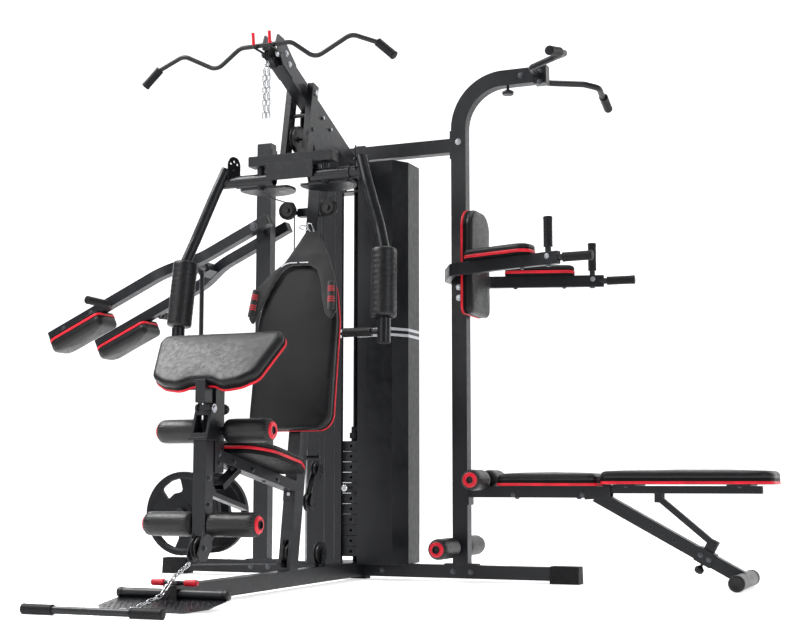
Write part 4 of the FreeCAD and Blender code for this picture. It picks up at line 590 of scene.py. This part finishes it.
LEG_WAY = Vector((math.cos(LEG_FALL), 0, -math.sin(LEG_FALL)))
UPRIGHT_FOOT_Y, UPRIGHT_FOOT_Z = -0.681, 0.072
BOOM_FOOT_Y, BOOM_FOOT_Z = -0.025, 1.7137
SEAT_ROOT_Y, SEAT_ROOT_Z = -0.720, 0.400
LEFT_POST_X, SQUAT_PIVOT_Z = -0.4705, 1.528
RIGHT_POST_X, POST_FRONT_Y = 0.460, -0.025
LEG_TOP = Vector((1.034, -0.0251, 0.352))       # bench leg, on its near side
BACKREST_Z = 0.592                              # lower edge of the backrest
SQUAT_ARM_Y, SQUAT_HALF_TUBE = 0.185, 0.0225
FAN_OUT, FAN_SIDE = 0.485, 0.145                # how the two dip arms spread
FAN_X, FAN_Y = 0.500, 0.205                     # where they start
SIDES = ((-1, "left"), (1, "right"))
NEAR_FAR = ((-1, "near"), (1, "far"))


def upright_at(z, off=0.0, x=0.0):
    """On the leaning upright, at a height, off its front face."""
    run = (z - UPRIGHT_FOOT_Z) / math.cos(LEAN)
    return Vector((x, UPRIGHT_FOOT_Y, UPRIGHT_FOOT_Z)) + UPRIGHT_WAY * run + UPRIGHT_FACE * off


def boom_at(run, up=0.0, x=0.0):
    """Along the lat boom from its foot."""
    return Vector((x, BOOM_FOOT_Y, BOOM_FOOT_Z)) + BOOM_WAY * run + BOOM_UP * up


def seat_at(run, off=0.0, x=0.0):
    """Along the seat beam from its root."""
    return Vector((x, SEAT_ROOT_Y, SEAT_ROOT_Z)) + SEAT_WAY * run + SEAT_UP * off


def squat_at(run, y=0.0, up=0.0):
    """Along the squat arms from their pivot."""
    return Vector((LEFT_POST_X, y, SQUAT_PIVOT_Z)) + SQUAT_WAY * run + SQUAT_UP * up


def dip_arm_way(sign):
    """The way a dip arm points, level and fanned outwards."""
    return Vector((FAN_OUT, sign * FAN_SIDE, 0)).normalized()


def scaled(pairs):
    """Millimetres to metres."""
    return [(x * MM, y * MM) for x, y in pairs]


def scaled_radii(*radii):
    """Corner radii, millimetres to metres."""
    return [r * MM for r in radii]


# ---- Upholstery ----

cushion("backrest_upholstery",
        scaled([(-176, 0), (176, 0), (172, 430), (150, 565), (72, 672), (-72, 672),
                (-150, 565), (-172, 430)]),
        scaled_radii(60, 60, 200, 80, 50, 50, 80, 200), 0.060,
        upright_at(BACKREST_Z) + UPRIGHT_FACE * 0.049, (1, 0, 0), UPRIGHT_FACE, "frame",
        "backrest_pad", crown=0.008, red=(0.08, 0.22), seed=1.0)
cushion("seat_upholstery",
        scaled([(-125, 0), (125, 0), (172, 130), (165, 330), (105, 405), (-105, 405),
                (-165, 330), (-172, 130)]),
        scaled_radii(40, 40, 120, 120, 70, 70, 120, 120), 0.052,
        seat_at(0.078, 0.0204), (-1, 0, 0), SEAT_UP, "frame", "seat_pad",
        red=(0.30, 0.50), seam=0.66, seed=2.0)
half = [(40, 18), (84, -6), (150, 6), (205, 42), (226, 130), (246, 212), (236, 250)]
cushion("preacher_upholstery", scaled([(-x, y) for x, y in half] + half[::-1]),
        scaled_radii(60, 60, 80, 50, 200, 26, 22, 22, 26, 200, 50, 80, 60, 60), 0.052,
        Vector((0, -1.331, 0.7146)) + PAD_FACE * 0.0004, (1, 0, 0), PAD_FACE, "preacher",
        "preacher_pad", crown=0.005, red=(0.02, 0.20), seam=0.45, seed=3.0)
cushion("dip_back_upholstery",
        scaled([(-120, 1098), (120, 1098), (120, 1540), (-120, 1540)]),
        scaled_radii(30, 30, 84, 84), 0.056, (0.501, 0, 0), (0, 1, 0), (1, 0, 0), "frame",
        "vkr_back_pad", red=(0.02, 0.20), seam=0.5, seed=4.0)
for sign, side in NEAR_FAR:
    cushion("dip_arm_upholstery_" + side,
            scaled([(85, -52), (385, -52), (385, 52), (85, 52)]),
            scaled_radii(24, 40, 40, 24), 0.046, (FAN_X, sign * FAN_Y, 1.2923),
            dip_arm_way(sign), (0, 0, 1), "frame", "vkr_arm_pads", crown=0.005,
            red=(0.12, 0.40), seam=0.6, seed=5.0 + sign)
cushion("bench_seat_upholstery", scaled([(640, -118), (1062, -142), (1062, 142), (640, 118)]),
        scaled_radii(50, 30, 30, 50), 0.054, (0, 0, 0.3894), (1, 0, 0), (0, 0, 1),
        "frame", "bench_seat_pad", red=(0.03, 0.23), seam=0.5, seed=7.0)
cushion("bench_back_upholstery",
        scaled([(1078, -142), (1740, -128), (1740, 128), (1078, 142)]),
        scaled_radii(30, 60, 60, 30), 0.056, (0, 0, 0.3964), (1, 0, 0), (0, 0, 1),
        "bench_back", "bench_back_pad", red=(0.03, 0.23), seam=0.5, seed=8.0)
for sign, side in NEAR_FAR:
    cushion("shoulder_upholstery_" + side,
            scaled([(800, -75), (1100, -75), (1100, 75), (800, 75)]),
            scaled_radii(24, 50, 50, 24), 0.075,
            squat_at(0, sign * SQUAT_ARM_Y, -SQUAT_HALF_TUBE - 0.0004), SQUAT_WAY, -SQUAT_UP,
            "squat", "squat_pads", crown=0.008, red=(0.14, 0.29), seam=0.4, seed=9.0 + sign)


# ---- Foam rollers and sleeves ----

ROLLER_RADIUS = 0.042
ROLLER_BORE = 0.0162
PLEATS = 26
PLEAT_DEPTHS = {1: 0.0016, 2: 0.0028, 3: 0.0024, 4: 0.0014, 5: 0.0006}  # by row from an end
SLEEVE_STEP = 0.0055


def roller(name, at, axis, length, body):
    """A foam sleeve in a gathered skin, with a red cap at its outer end."""
    rows = [(ROLLER_BORE, 0.0), (0.027, 0.0002), (0.033, 0.0022), (0.0378, 0.0062),
            (0.0404, 0.0120), (0.0416, 0.020)]
    middle = [(ROLLER_RADIUS, length * k / 12) for k in range(2, 11)]
    profile = rows + middle + [(r, length - h) for r, h in rows[::-1]]
    last = len(profile) - 1

    def gather(row, angle):
        depth = PLEAT_DEPTHS.get(min(row, last - row), 0.0)
        soft = 0.0005 * noise.noise(Vector((3 * math.cos(angle), 3 * math.sin(angle), row)))
        return -depth * (0.5 + 0.5 * math.cos(PLEATS * angle)) + soft

    made = lathe(name, profile, at, axis, body, [FOAM], 156, wobble=gather)
    end = Vector(at) + Vector(axis).normalized() * length
    cap = [(0.0142, -0.003), (0.0142, 0.0038), (0.0165, 0.0056), (0.0240, 0.0054),
           (0.0285, 0.0034), (0.0305, 0.0006), (0.0303, -0.0015)]
    lathe(name + "_cap", cap, end, axis, body, [RED], 56)
    stopper = [(0.0143, -0.0004), (0.0120, 0.0006), (0.0060, -0.0006), (0.0002, -0.0008)]
    lathe(name + "_cap_plug", stopper, end, axis, body, [BLACK], 40)
    return made


for sign, side in SIDES:
    roller("leg_roller_" + side, (sign * 0.030, -1.324, 0.264), (sign, 0, 0),
                          0.188, "leg")
    roller("post_roller_" + side, (sign * 0.042, -1.240, 0.583), (sign, 0, 0),
                          0.180, "frame")
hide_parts("leg_rollers")
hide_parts("fixed_foam_rollers")
for sign, side in NEAR_FAR:
    roller("ankle_roller_" + side, (0.440, sign * 0.058, 0.138), (0, sign, 0), 0.190, "frame")
    roller("bench_roller_" + side, (0.560, sign * 0.034, 0.414), (0, sign, 0), 0.150, "frame")


def sleeve_wobble(row, angle):
    """Shallow unevenness of an arm's foam sleeve."""
    return 0.0006 * noise.noise(Vector((2 * math.cos(angle), 2 * math.sin(angle), row * 0.4)))


foam_top, foam_low = Vector((0.428, -0.752, 1.276)), Vector((0.440, -0.786, 0.962))
way = (foam_low - foam_top).normalized()
start = foam_top + way * 0.002
sleeve_profile = [(0.0225, 0.0), (0.040, 0.0004), (0.0455, 0.003), (0.0478, 0.009)]
sleeve_profile += [(0.048 + 0.0005 * math.sin(k * 1.7), 0.016 + k * SLEEVE_STEP)
                   for k in range(43)]
sleeve_profile += [(0.0475, 0.256), (0.0450, 0.2610), (0.038, 0.2636), (0.0225, 0.264)]
for sign, side in SIDES:
    body = "arm_" + side
    sleeve = lathe(body + "_foam_sleeve", sleeve_profile, (sign * start.x, start.y, start.z),
                   (sign * way.x, way.y, way.z), body, [FOAM], 72, wobble=sleeve_wobble)
    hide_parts("arm_foam_" + side)
    grip(body + "_hand_grip", (sign * 0.3925, -0.785, 0.960), (-sign, 0, 0), 0.112, 0.0151,
         body, 0.0016)
    plug(body + "_lower_plug", (sign * 0.4403, -0.7835, 0.918), (1, 0, 0), (0, -0.03, -1),
         0.042, 0.042, body, corner=0.02)

# ---- Harness ----

FOLD = 0.690                    # where the collar turns back, along the backrest
COLLAR_OFF = 0.1135             # from the upright's middle to the collar's underside
GRIP_OFF = 0.1275               # and to the middle of the grips
FOLD_REACH = 0.036              # length over which the fold rounds
COLLAR = [(137, 668), (154, 620), (171, 565), (180, 462), (160, 424), (134, 450), (114, 510),
          (108, 560), (100, 592), (84, 630), (50, 651), (-34, 655), (-70, 636), (-98, 590),
          (-138, 505), (-164, 455), (-180, 412), (-199, 440), (-190, 548), (-124, 621),
          (-62, 667)]
FOLD_LEFT, FOLD_RIGHT = (-43, FOLD / MM), (129, FOLD / MM)
COLLAR_BASE = upright_at(BACKREST_Z) + UPRIGHT_FACE * COLLAR_OFF
FOLD_POINT = COLLAR_BASE + UPRIGHT_WAY * FOLD
NECK = Vector((0, -0.548, 1.396)) - FOLD_POINT
NECK_WAY = NECK.normalized()
NECK_FACE = Vector((0, -NECK_WAY.z, NECK_WAY.y))
NECK_END = (FOLD + NECK.length) / MM


def harness_point(p, height):
    """From the flat cut to its place: on the backrest's face, folded back over its top edge."""
    over = p.y - FOLD
    ripple = 0.0016 * math.sin(p.x * 60 + 1.2) * math.sin(p.y * 34)
    lift = height + ripple * min(1.0, max(0.0, (height - 0.001) / 0.004))
    low = COLLAR_BASE + UPRIGHT_WAY * p.y + UPRIGHT_FACE * lift
    high = FOLD_POINT + NECK_WAY * over + NECK_FACE * lift
    share = min(1.0, max(0.0, over / FOLD_REACH + 0.5))
    share = share * share * (3 - 2 * share)
    here = low.lerp(high, share)
    here.x = p.x
    return here


flat = COLLAR + [FOLD_LEFT, (6, NECK_END), (54, NECK_END), FOLD_RIGHT]
line = smooth_outline(scaled(flat), scaled_radii(*[8] * len(COLLAR), 30, 8, 8, 30), 0.004)
build = bmesh.new()
loops = []
for distance, height in ((0.0030, 0.0), (0.0006, 0.0014), (0.0, 0.0046), (0.0006, 0.0080),
                         (0.0034, 0.0094), (0.0055, 0.0082), (0.0078, 0.0096)):
    loops.append([(p, height) for p in inset(line, distance)])
rings = [[build.verts.new((p.x, p.y, h)) for p, h in ring] for ring in loops]
for one, two in zip(rings, rings[1:]):
    for i in range(len(one)):
        j = (i + 1) % len(one)
        build.faces.new((one[i], one[j], two[j], two[i]))
for rim, pitch in ((loops[0], 0.016), (loops[-1], 0.008)):      # underside, then face
    edge = [p for p, _ in rim]
    spots = [Vector((x * pitch - 0.2, y * pitch + 0.40)) for x in range(int(0.4 / pitch))
             for y in range(int(0.44 / pitch))]
    points, _, tris, _, _, _ = geometry.delaunay_2d_cdt(
        edge + spots, [], [list(range(len(edge)))], 1, 1e-6)
    fresh = [build.verts.new((p.x, p.y, rim[0][1])) for p in points]
    for tri in tris:
        build.faces.new([fresh[i] for i in tri])
bmesh.ops.delete(build, geom=[v for v in build.verts if not v.link_faces], context="VERTS")
bmesh.ops.remove_doubles(build, verts=build.verts, dist=2e-6)
bmesh.ops.recalc_face_normals(build, faces=build.faces)
for v in build.verts:
    v.co = harness_point(Vector((v.co.x, v.co.y)), v.co.z)
cloth = bpy.data.meshes.new("harness_fabric")
build.to_mesh(cloth)
build.free()
cloth.materials.append(WEB)
cloth.polygons.foreach_set("use_smooth", [True] * len(cloth.polygons))
harness = add_object("harness_fabric", cloth)
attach(harness, "frame")
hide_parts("harness")

PIPING = ([(-74, 650), (-58, 660), (-36, 664), (-6, 664)], [(6, 664), (44, 662)])
for k, dash in enumerate(PIPING):
    tube_line("harness_piping_%d" % k,
              [harness_point(Vector(point), 0.0104) for point in scaled(dash)],
              0.0022, "frame", WHITE)

STRIPES = (7, 8, 10, 11, 13, 14, 22, 23, 25, 26, 28, 29)
GRIP_ROWS = 38
for side, top_at, low_at in (("left", (-0.175, 0.558), (-0.189, 0.446)),
                             ("right", (0.153, 0.576), (0.160, 0.464))):
    ends = [upright_at(BACKREST_Z, 0, x) + UPRIGHT_WAY * run + UPRIGHT_FACE * GRIP_OFF
            for x, run in (top_at, low_at)]
    reach = (ends[1] - ends[0]).length
    profile, bands = [(0.0060, 0.0003), (0.0115, 0.0003), (0.0136, 0.0030)], [0, 0]
    for k in range(1, GRIP_ROWS):
        stripe = k in STRIPES
        profile.append((0.0141 if stripe else 0.0135,
                        0.003 + (reach - 0.006) * k / GRIP_ROWS))
        bands.append(1 if stripe else 0)
    profile += [(0.0136, reach - 0.003), (0.0115, reach - 0.0003), (0.0060, reach - 0.0003)]
    bands += [0, 0, 0]
    handle = lathe("harness_grip_" + side, profile, ends[0], ends[1] - ends[0], "frame",
                   [WEB, WEB_RED], 40, bands=bands)


# ---- Snap hooks ----

def snap_hook(name, at, way, size, side=(1, 0, 0)):
    """A pear-shaped spring hook with its gate."""
    up = Vector(way).normalized()
    across = Vector(side)
    at = Vector(at)
    loop = []
    for k in range(20):
        angle = 2 * math.pi * k / 20
        wide = 0.22 + 0.08 * math.cos(angle)
        loop.append(at + up * (size / 2 * math.cos(angle))
                    + across * (size * wide * math.sin(angle)))
    tube_line(name, loop, 0.0026, "frame", CHROME, cyclic=True, bend=True)
    gate = [at + across * size * 0.20 + up * size * 0.28,
            at + across * size * 0.235 - up * size * 0.30]
    tube_line(name + "_gate", gate, 0.0030, "frame", ZINC)


snap_hook("harness_hook", (0.024, -0.552, 1.413), (-0.35, 0, 1), 0.046)
snap_hook("cable_hook", (-0.012, -0.546, 1.418), (1, 0, -0.2), 0.040, (0, 0, 1))
snap_hook("floor_chain_hook", (-0.056, -1.8570, 0.0125), (0.1, 1, 0.0), 0.026)

# ---- Hand grips on the bars, red sleeves on the bar hooks and the floor rest ----

GRIP_SKIN = 0.0014
HOOK_SLEEVE = ((-0.9385, 2.0600), (-0.9410, 2.0800), (-0.9450, 2.1062))
REST_SLEEVE = [(0.0072, -0.002), (0.0106, 0.0), (0.0112, 0.003), (0.0112, 0.038),
               (0.0102, 0.0445), (0.0072, 0.0470), (0.0003, 0.0476)]
for sign, side in SIDES:
    way = Vector((sign * -65, 0, 58.7)).normalized()
    grip("lat_bar_grip_" + side, Vector((sign * 0.470, -0.908, 2.018)) + way * 0.004, -way,
         0.090, 0.0141, "pull_bar_high", 0.0016)
    grip("pull_up_grip_" + side, (1.0011, sign * 0.352, 2.0797), (-12, sign * 192, -43), 0.116,
         0.0162, "chin_bar", GRIP_SKIN)
    grip("dip_upright_grip_" + side, (0.942, sign * 0.336, 1.313), (0, 0, 1), 0.118, 0.0161,
         "frame", GRIP_SKIN)
    grip("dip_grip_" + side, (1.004, sign * 0.3482, 1.267), (1, sign * 0.06, 0), 0.118, 0.0166,
         "frame", GRIP_SKIN)
    way = Vector((-26, sign * 144, 9)).normalized()
    grip("squat_grip_" + side, Vector((-1.151, sign * 0.200, 1.200)) + way * 0.026, way, 0.122,
         0.0161, "squat", GRIP_SKIN)
for sign, side, x in ((-1, "left", -0.201), (1, "right", 0.080)):
    grip("low_bar_grip_" + side, (x, -1.872, 0.016), (sign, 0, 0), 0.112, 0.0150,
         "pull_bar_low", 0.0009)
for sign, side in SIDES:
    tube_line("hook_sleeve_" + side, [(sign * 0.0349, y, z) for y, z in HOOK_SLEEVE], 0.0062,
              "frame", RED)
    lathe("rest_sleeve_" + side, REST_SLEEVE, (sign * 0.0395, -1.494, 0.0794), (sign, 0, 0),
          "frame", [RED], 36)

# ---- Shroud stripes, plugs, bolts and adjustment holes ----

SHROUD = [(37, -104), (37, -120), (196, -120), (240, -48), (240, 78), (122, 78)]
STRIPE_HEIGHTS = ((1.040, 1.052), (1.015, 1.027))
for sign, side in SIDES:
    line = [Vector((sign * x, y)) for x, y in scaled(SHROUD)]
    shifted = []
    for before, here, after in zip(line, line[1:], line[2:]):
        ways = [(here - before).normalized(), (after - here).normalized()]
        normals = [Vector((w.y, -w.x)) * sign for w in ways]
        out = sum(normals, Vector((0, 0)))
        out = out / out.dot(normals[0])
        shifted.append((here + out * 0.00035, here + out * 0.0009))
    for k, (low, high) in enumerate(STRIPE_HEIGHTS):
        verts, faces = [], []
        for near, far in shifted:
            verts += [(near.x, near.y, low), (far.x, far.y, low + 0.0005),
                      (far.x, far.y, high - 0.0005), (near.x, near.y, high)]
        for i in range(len(shifted) - 1):
            for c in range(3):
                faces.append((i * 4 + c, i * 4 + c + 1, i * 4 + c + 5, i * 4 + c + 4))
        mesh_piece("shroud_stripe_%s_%d" % (side, k), verts, faces, "frame", [SILVER],
                   smooth=False)

plug("left_post_plug", (LEFT_POST_X, 0, 1.920), (1, 0, 0), (0, 0, 1), 0.070, 0.050, "frame")
plug("rear_post_plug", (0, 0, 1.865), (1, 0, 0), (0, 0, 1), 0.050, 0.050, "frame")
plug("boom_plug", boom_at(0.840), (1, 0, 0), BOOM_WAY, 0.050, 0.072, "frame")
plug("base_front_plug", (0, -1.522, 0.042), (1, 0, 0), (0, -1, 0), 0.050, 0.060, "frame",
     0.003)
BENCH_FOOT_CAP = [(0.0302, -0.030), (0.0312, -0.029), (0.0314, 0.0), (0.0300, 0.0035),
                  (0.0240, 0.0050), (0.0200, 0.0036), (0.0003, 0.0030)]
FOOT_TUBE_CAP = [(0.0162, -0.018), (0.0170, -0.017), (0.0171, 0.0), (0.0160, 0.0024),
                 (0.0003, 0.0030)]
for sign, side in NEAR_FAR:
    plug("dip_arm_plug_" + side, (0.985, sign * 0.350, 1.267), (0, 0, 1), dip_arm_way(sign),
         0.050, 0.025, "frame")
    plug("squat_arm_plug_" + side, squat_at(1.105, sign * SQUAT_ARM_Y), (0, 1, 0), SQUAT_WAY,
         0.045, 0.045, "squat")
    plug("squat_rear_plug_" + side, squat_at(-0.070, sign * 0.095), (0, 1, 0), -SQUAT_WAY,
         0.045, 0.045, "squat")
    plug("press_box_plug_" + side, (sign * 0.180, -0.669, 1.670), (0, 1, 0), (sign, 0, 0),
         0.056, 0.040, "press")
    lathe("bench_foot_cap_" + side, BENCH_FOOT_CAP, (1.604, sign * 0.190, 0.032),
          (0, sign, 0), "frame", [BLACK], 48)
    lathe("foot_tube_cap_" + side, FOOT_TUBE_CAP, (sign * 0.206, -1.503, 0.044), (sign, 0, 0),
          "frame", [BLACK], 36)
plug("bench_back_plug", (1.678, 0, 0.376), (0, 1, 0), (1, 0, 0), 0.040, 0.030, "bench_back")
plug("seat_post_plug", (0, -1.257, 0.440), (1, 0, 0), (0, 0, -1), 0.050, 0.060, "frame", 0.002)

HEADS = []
UNUSED_NUMBERS = (4, 5)         # numbers that no bolt head has
BOOM_BOLTS = ((0.800, 0.0), (0.905, -0.030), (0.840, 0.022))    # along and up the boom
LEFTWARD, RIGHTWARD, FRONTWARD, DOWNWARD = (-1, 0, 0), (1, 0, 0), (0, -1, 0), (0, 0, -1)


def heads(body, places, axis, size=0.0075, surface=BOLT_DARK):
    """Note bolt heads at some places, facing one way."""
    for place in places:
        HEADS.append((Vector(place), Vector(axis), body, size, surface))


heads("frame", [(0.425, 0, 1.255)], LEFTWARD, 0.008)
heads("frame", [(RIGHT_POST_X, POST_FRONT_Y, z) for z in (1.175, 1.220, 1.845)], FRONTWARD,
      0.009, ZINC)
heads("frame", [(x, POST_FRONT_Y, 0.040) for x in (0.428, 0.505, -0.515, -0.430, 0.110, -0.110)],
      FRONTWARD, 0.008)
heads("frame", [(x, POST_FRONT_Y, 0.355) for x in (0.690, 0.980)], FRONTWARD, 0.0072)
heads("frame", [(x, 0, 0.343) for x in (0.700, 0.960)], DOWNWARD, 0.008)
heads("frame", [upright_at(z, 0, 0.025) for z in (0.62, 1.02)], RIGHTWARD, 0.008)
heads("frame", [(0.025, -1.257, z) for z in (0.470, 0.505)], RIGHTWARD, 0.0078)
for sign in (1, -1):
    heads("frame", [boom_at(run, up, sign * 0.030) for run, up in BOOM_BOLTS], (sign, 0, 0),
          0.008, ZINC)
heads("frame", [seat_at(run, -0.004, 0.025) for run in (0.10, 0.30, 0.44)], RIGHTWARD, 0.007)
heads("frame", [seat_at(run, -0.020) for run in (0.16, 0.40)], -SEAT_UP)
for sign in (1, -1):
    heads("leg", [(sign * 0.0334, -1.312, 0.658)], (sign, 0, 0), 0.0105, ZINC)
heads("leg", [(0.023, -1.345, 0.184)], RIGHTWARD, 0.008)
heads("leg", [(0.025, -1.324, z) for z in (0.330, 0.420)], RIGHTWARD, 0.0065)
for sign in (-1, 1):
    heads("squat", [squat_at(0, sign * 0.1175)], (0, sign, 0), 0.013)
heads("squat", [squat_at(run, -0.2075) for run in (0.86, 1.02)], FRONTWARD)
heads("squat", [squat_at(run, sign * SQUAT_ARM_Y, SQUAT_HALF_TUBE) for run in (0.86, 1.02)
                for sign in (-1, 1)], SQUAT_UP)
for sign in (-1, 1):
    way = dip_arm_way(sign)
    outward = Vector((way.y, -way.x, 0))
    heads("frame", [Vector((FAN_X, sign * FAN_Y, 1.242)) + way * run for run in (0.13, 0.34)],
          DOWNWARD)
    heads("frame", [Vector((FAN_X, sign * FAN_Y, 1.275)) + way * 0.462 + outward * 0.0125],
          outward, 0.0072, ZINC)
    heads("frame", [(0.942, sign * 0.336, 1.242)], DOWNWARD, 0.010)
heads("chin_bar", [(0.824, POST_FRONT_Y, z) for z in (2.112, 2.068)], FRONTWARD, 0.008)
heads("frame", [(0.742, POST_FRONT_Y, 2.104)], FRONTWARD, 0.009)
heads("collar", [Vector((1.4599, -0.0289, 0.1179)) + LEG_WAY * run for run in (-0.018, 0.018)],
      FRONTWARD, 0.007)
heads("press", [(0.059, -0.61, 1.80)], RIGHTWARD, 0.008)
heads("bench_back", [(x, sign * 0.060, 0.3895) for x in (1.165, 1.605) for sign in (-1, 1)],
      DOWNWARD, 0.0065)
numbers = [n for n in range(len(HEADS) + len(UNUSED_NUMBERS)) if n not in UNUSED_NUMBERS]
for number, head in zip(numbers, HEADS):
    bolt_head("bolt_head_%02d" % number, *head)

TREAD_FALL = math.atan2(26, 182)
TREAD_WAY = Vector((0, math.cos(TREAD_FALL), math.sin(TREAD_FALL)))
TREAD_UP = Vector((0, -math.sin(TREAD_FALL), math.cos(TREAD_FALL)))
TREAD_EDGE_Y = -1.688
STUD_PITCH, STUD_ROW = 0.020, 0.0205
STUD_LONG, STUD_WIDE, STUD_HIGH = 0.0062, 0.0017, 0.0013
verts, faces = [], []
for row in range(7):
    for column in range(-9, 10):
        x = column * STUD_PITCH + (STUD_PITCH / 2 if row % 2 else 0.0)
        run = 0.022 + row * STUD_ROW
        past_side = abs(x) > 0.136 + min(1.0, run / 0.062) * 0.052
        in_notch = run > 0.150 and abs(x) < 0.04
        if past_side or in_notch:
            continue
        crosswise = (row + column) % 2
        long = Vector((STUD_LONG, 0, 0)) if crosswise else TREAD_WAY * STUD_LONG
        wide = TREAD_WAY * STUD_WIDE if crosswise else Vector((STUD_WIDE, 0, 0))
        at = Vector((x, TREAD_EDGE_Y, 0.0005)) + TREAD_WAY * run + TREAD_UP * 0.003
        base = len(verts)
        verts += [at - long - wide, at + long - wide, at + long + wide, at - long + wide]
        verts += [v * 0.35 + at * 0.65 + TREAD_UP * STUD_HIGH for v in verts[base:base + 4]]
        faces += [(base + i, base + (i + 1) % 4, base + 4 + (i + 1) % 4, base + 4 + i)
                  for i in range(4)]
        faces += [(base + 4, base + 5, base + 6, base + 7), (base + 3, base + 2, base + 1, base)]
mesh_piece("tread_studs", verts, faces, "frame", [COAT], smooth=False)

for k in range(5):
    bore("leg_hole_%d" % k, LEG_TOP + LEG_WAY * (0.250 + 0.052 * k), FRONTWARD, 0.0055, "frame")
for k in range(3):
    bore("post_hole_%d" % k, (RIGHT_POST_X, POST_FRONT_Y - 0.0002, 0.500 + 0.14 * k),
         FRONTWARD, 0.0050, "frame")
    bore("upright_hole_%d" % k, upright_at(1.30 + 0.06 * k, 0, 0.0251), RIGHTWARD, 0.0050,
         "frame")

# ---- Stage, light and camera ----

STAGE_HALF, FLOOR_FRONT, BEND_START, BEND, WALL_TOP = 16.0, -9.0, 6.5, 3.0, 12.0
FLOOR_DROP = 0.0005             # below the feet, so that the faces do not flicker
profile = [(FLOOR_FRONT, 0.0), (BEND_START, 0.0)]
for k in range(1, 13):
    angle = math.pi / 2 * k / 12
    profile.append((BEND_START + BEND * math.sin(angle), BEND - BEND * math.cos(angle)))
profile.append((BEND_START + BEND, WALL_TOP))
verts, faces = [], []
for y, z in profile:
    verts += [(-STAGE_HALF, y, z - FLOOR_DROP), (STAGE_HALF, y, z - FLOOR_DROP)]
for i in range(len(profile) - 1):
    faces.append((2 * i, 2 * i + 1, 2 * i + 3, 2 * i + 2))
data = bpy.data.meshes.new("stage_sweep")
data.from_pydata(verts, [], faces)
data.polygons.foreach_set("use_smooth", [True] * len(data.polygons))
sweep = add_object("stage_sweep", data)
paper = Shader("stage_paper", 0.9)
paper.colour(paper.ramp(paper.noise(0.6, 2.0), [(NOISE_LOW, (0.93, 0.93, 0.935)),
                                                (NOISE_HIGH, (0.96, 0.96, 0.96))]))
paper.bsdf.inputs["Emission Color"].default_value = (1.0, 1.0, 1.0, 1)
paper.bsdf.inputs["Emission Strength"].default_value = 0.62
data.materials.append(paper.material)

LIGHT_LEVEL, BACKDROP_LEVEL = 0.26, 0.95        # the sky as it lights, and as it is seen
world = bpy.data.worlds.new("studio")
bpy.context.scene.world = world
world.use_nodes = True
sky = world.node_tree.nodes["Background"]
sky.inputs["Color"].default_value = (0.96, 0.98, 1.0, 1)
seen = world.node_tree.nodes.new("ShaderNodeLightPath")
level = world.node_tree.nodes.new("ShaderNodeMapRange")
level.inputs["To Min"].default_value = LIGHT_LEVEL
level.inputs["To Max"].default_value = BACKDROP_LEVEL
world.node_tree.links.new(seen.outputs["Is Camera Ray"], level.inputs["Value"])
world.node_tree.links.new(level.outputs["Result"], sky.inputs["Strength"])


def area_light(name, at, target, size, power, colour=(1, 1, 1)):
    """A rectangular lamp, aimed at a target."""
    lamp = bpy.data.lights.new(name, "AREA")
    lamp.shape = "RECTANGLE"
    lamp.size, lamp.size_y = size
    lamp.energy = power
    lamp.color = colour
    made = add_object(name, lamp)
    made.location = at
    made.rotation_euler = (Vector(target) - Vector(at)).to_track_quat("-Z", "Y").to_euler()


area_light("key", (-2.6, -1.9, 4.4), (0, -1.2, 0.8), (3.0, 2.2), 290)
area_light("front", (-2.2, -6.0, 2.2), (0, -0.4, 1.0), (2.4, 2.4), 50)
area_light("fill", (5.2, -3.2, 2.4), (0.2, -0.4, 0.9), (1.4, 3.2), 60, (0.95, 0.97, 1.0))
area_light("top", (0.8, 0.4, 5.0), (0.2, -0.2, 0), (3.5, 2.6), 90)
area_light("back_left", (-4.5, 3.0, 2.8), (-0.2, 0, 1.0), (1.2, 3.0), 60)
area_light("back_right", (4.2, 3.2, 3.0), (0.4, 0, 1.0), (1.2, 3.0), 50)

camera_data = bpy.data.cameras.new("camera")
camera_data.lens = 63.0
camera_data.sensor_width = 36.0
camera = add_object("camera", camera_data)
camera.location = (2.455, -5.515, 0.410)
camera.rotation_euler = (math.radians(96.6), 0, math.radians(22.4))
bpy.context.scene.camera = camera
bpy.context.scene.view_settings.view_transform = "Standard"
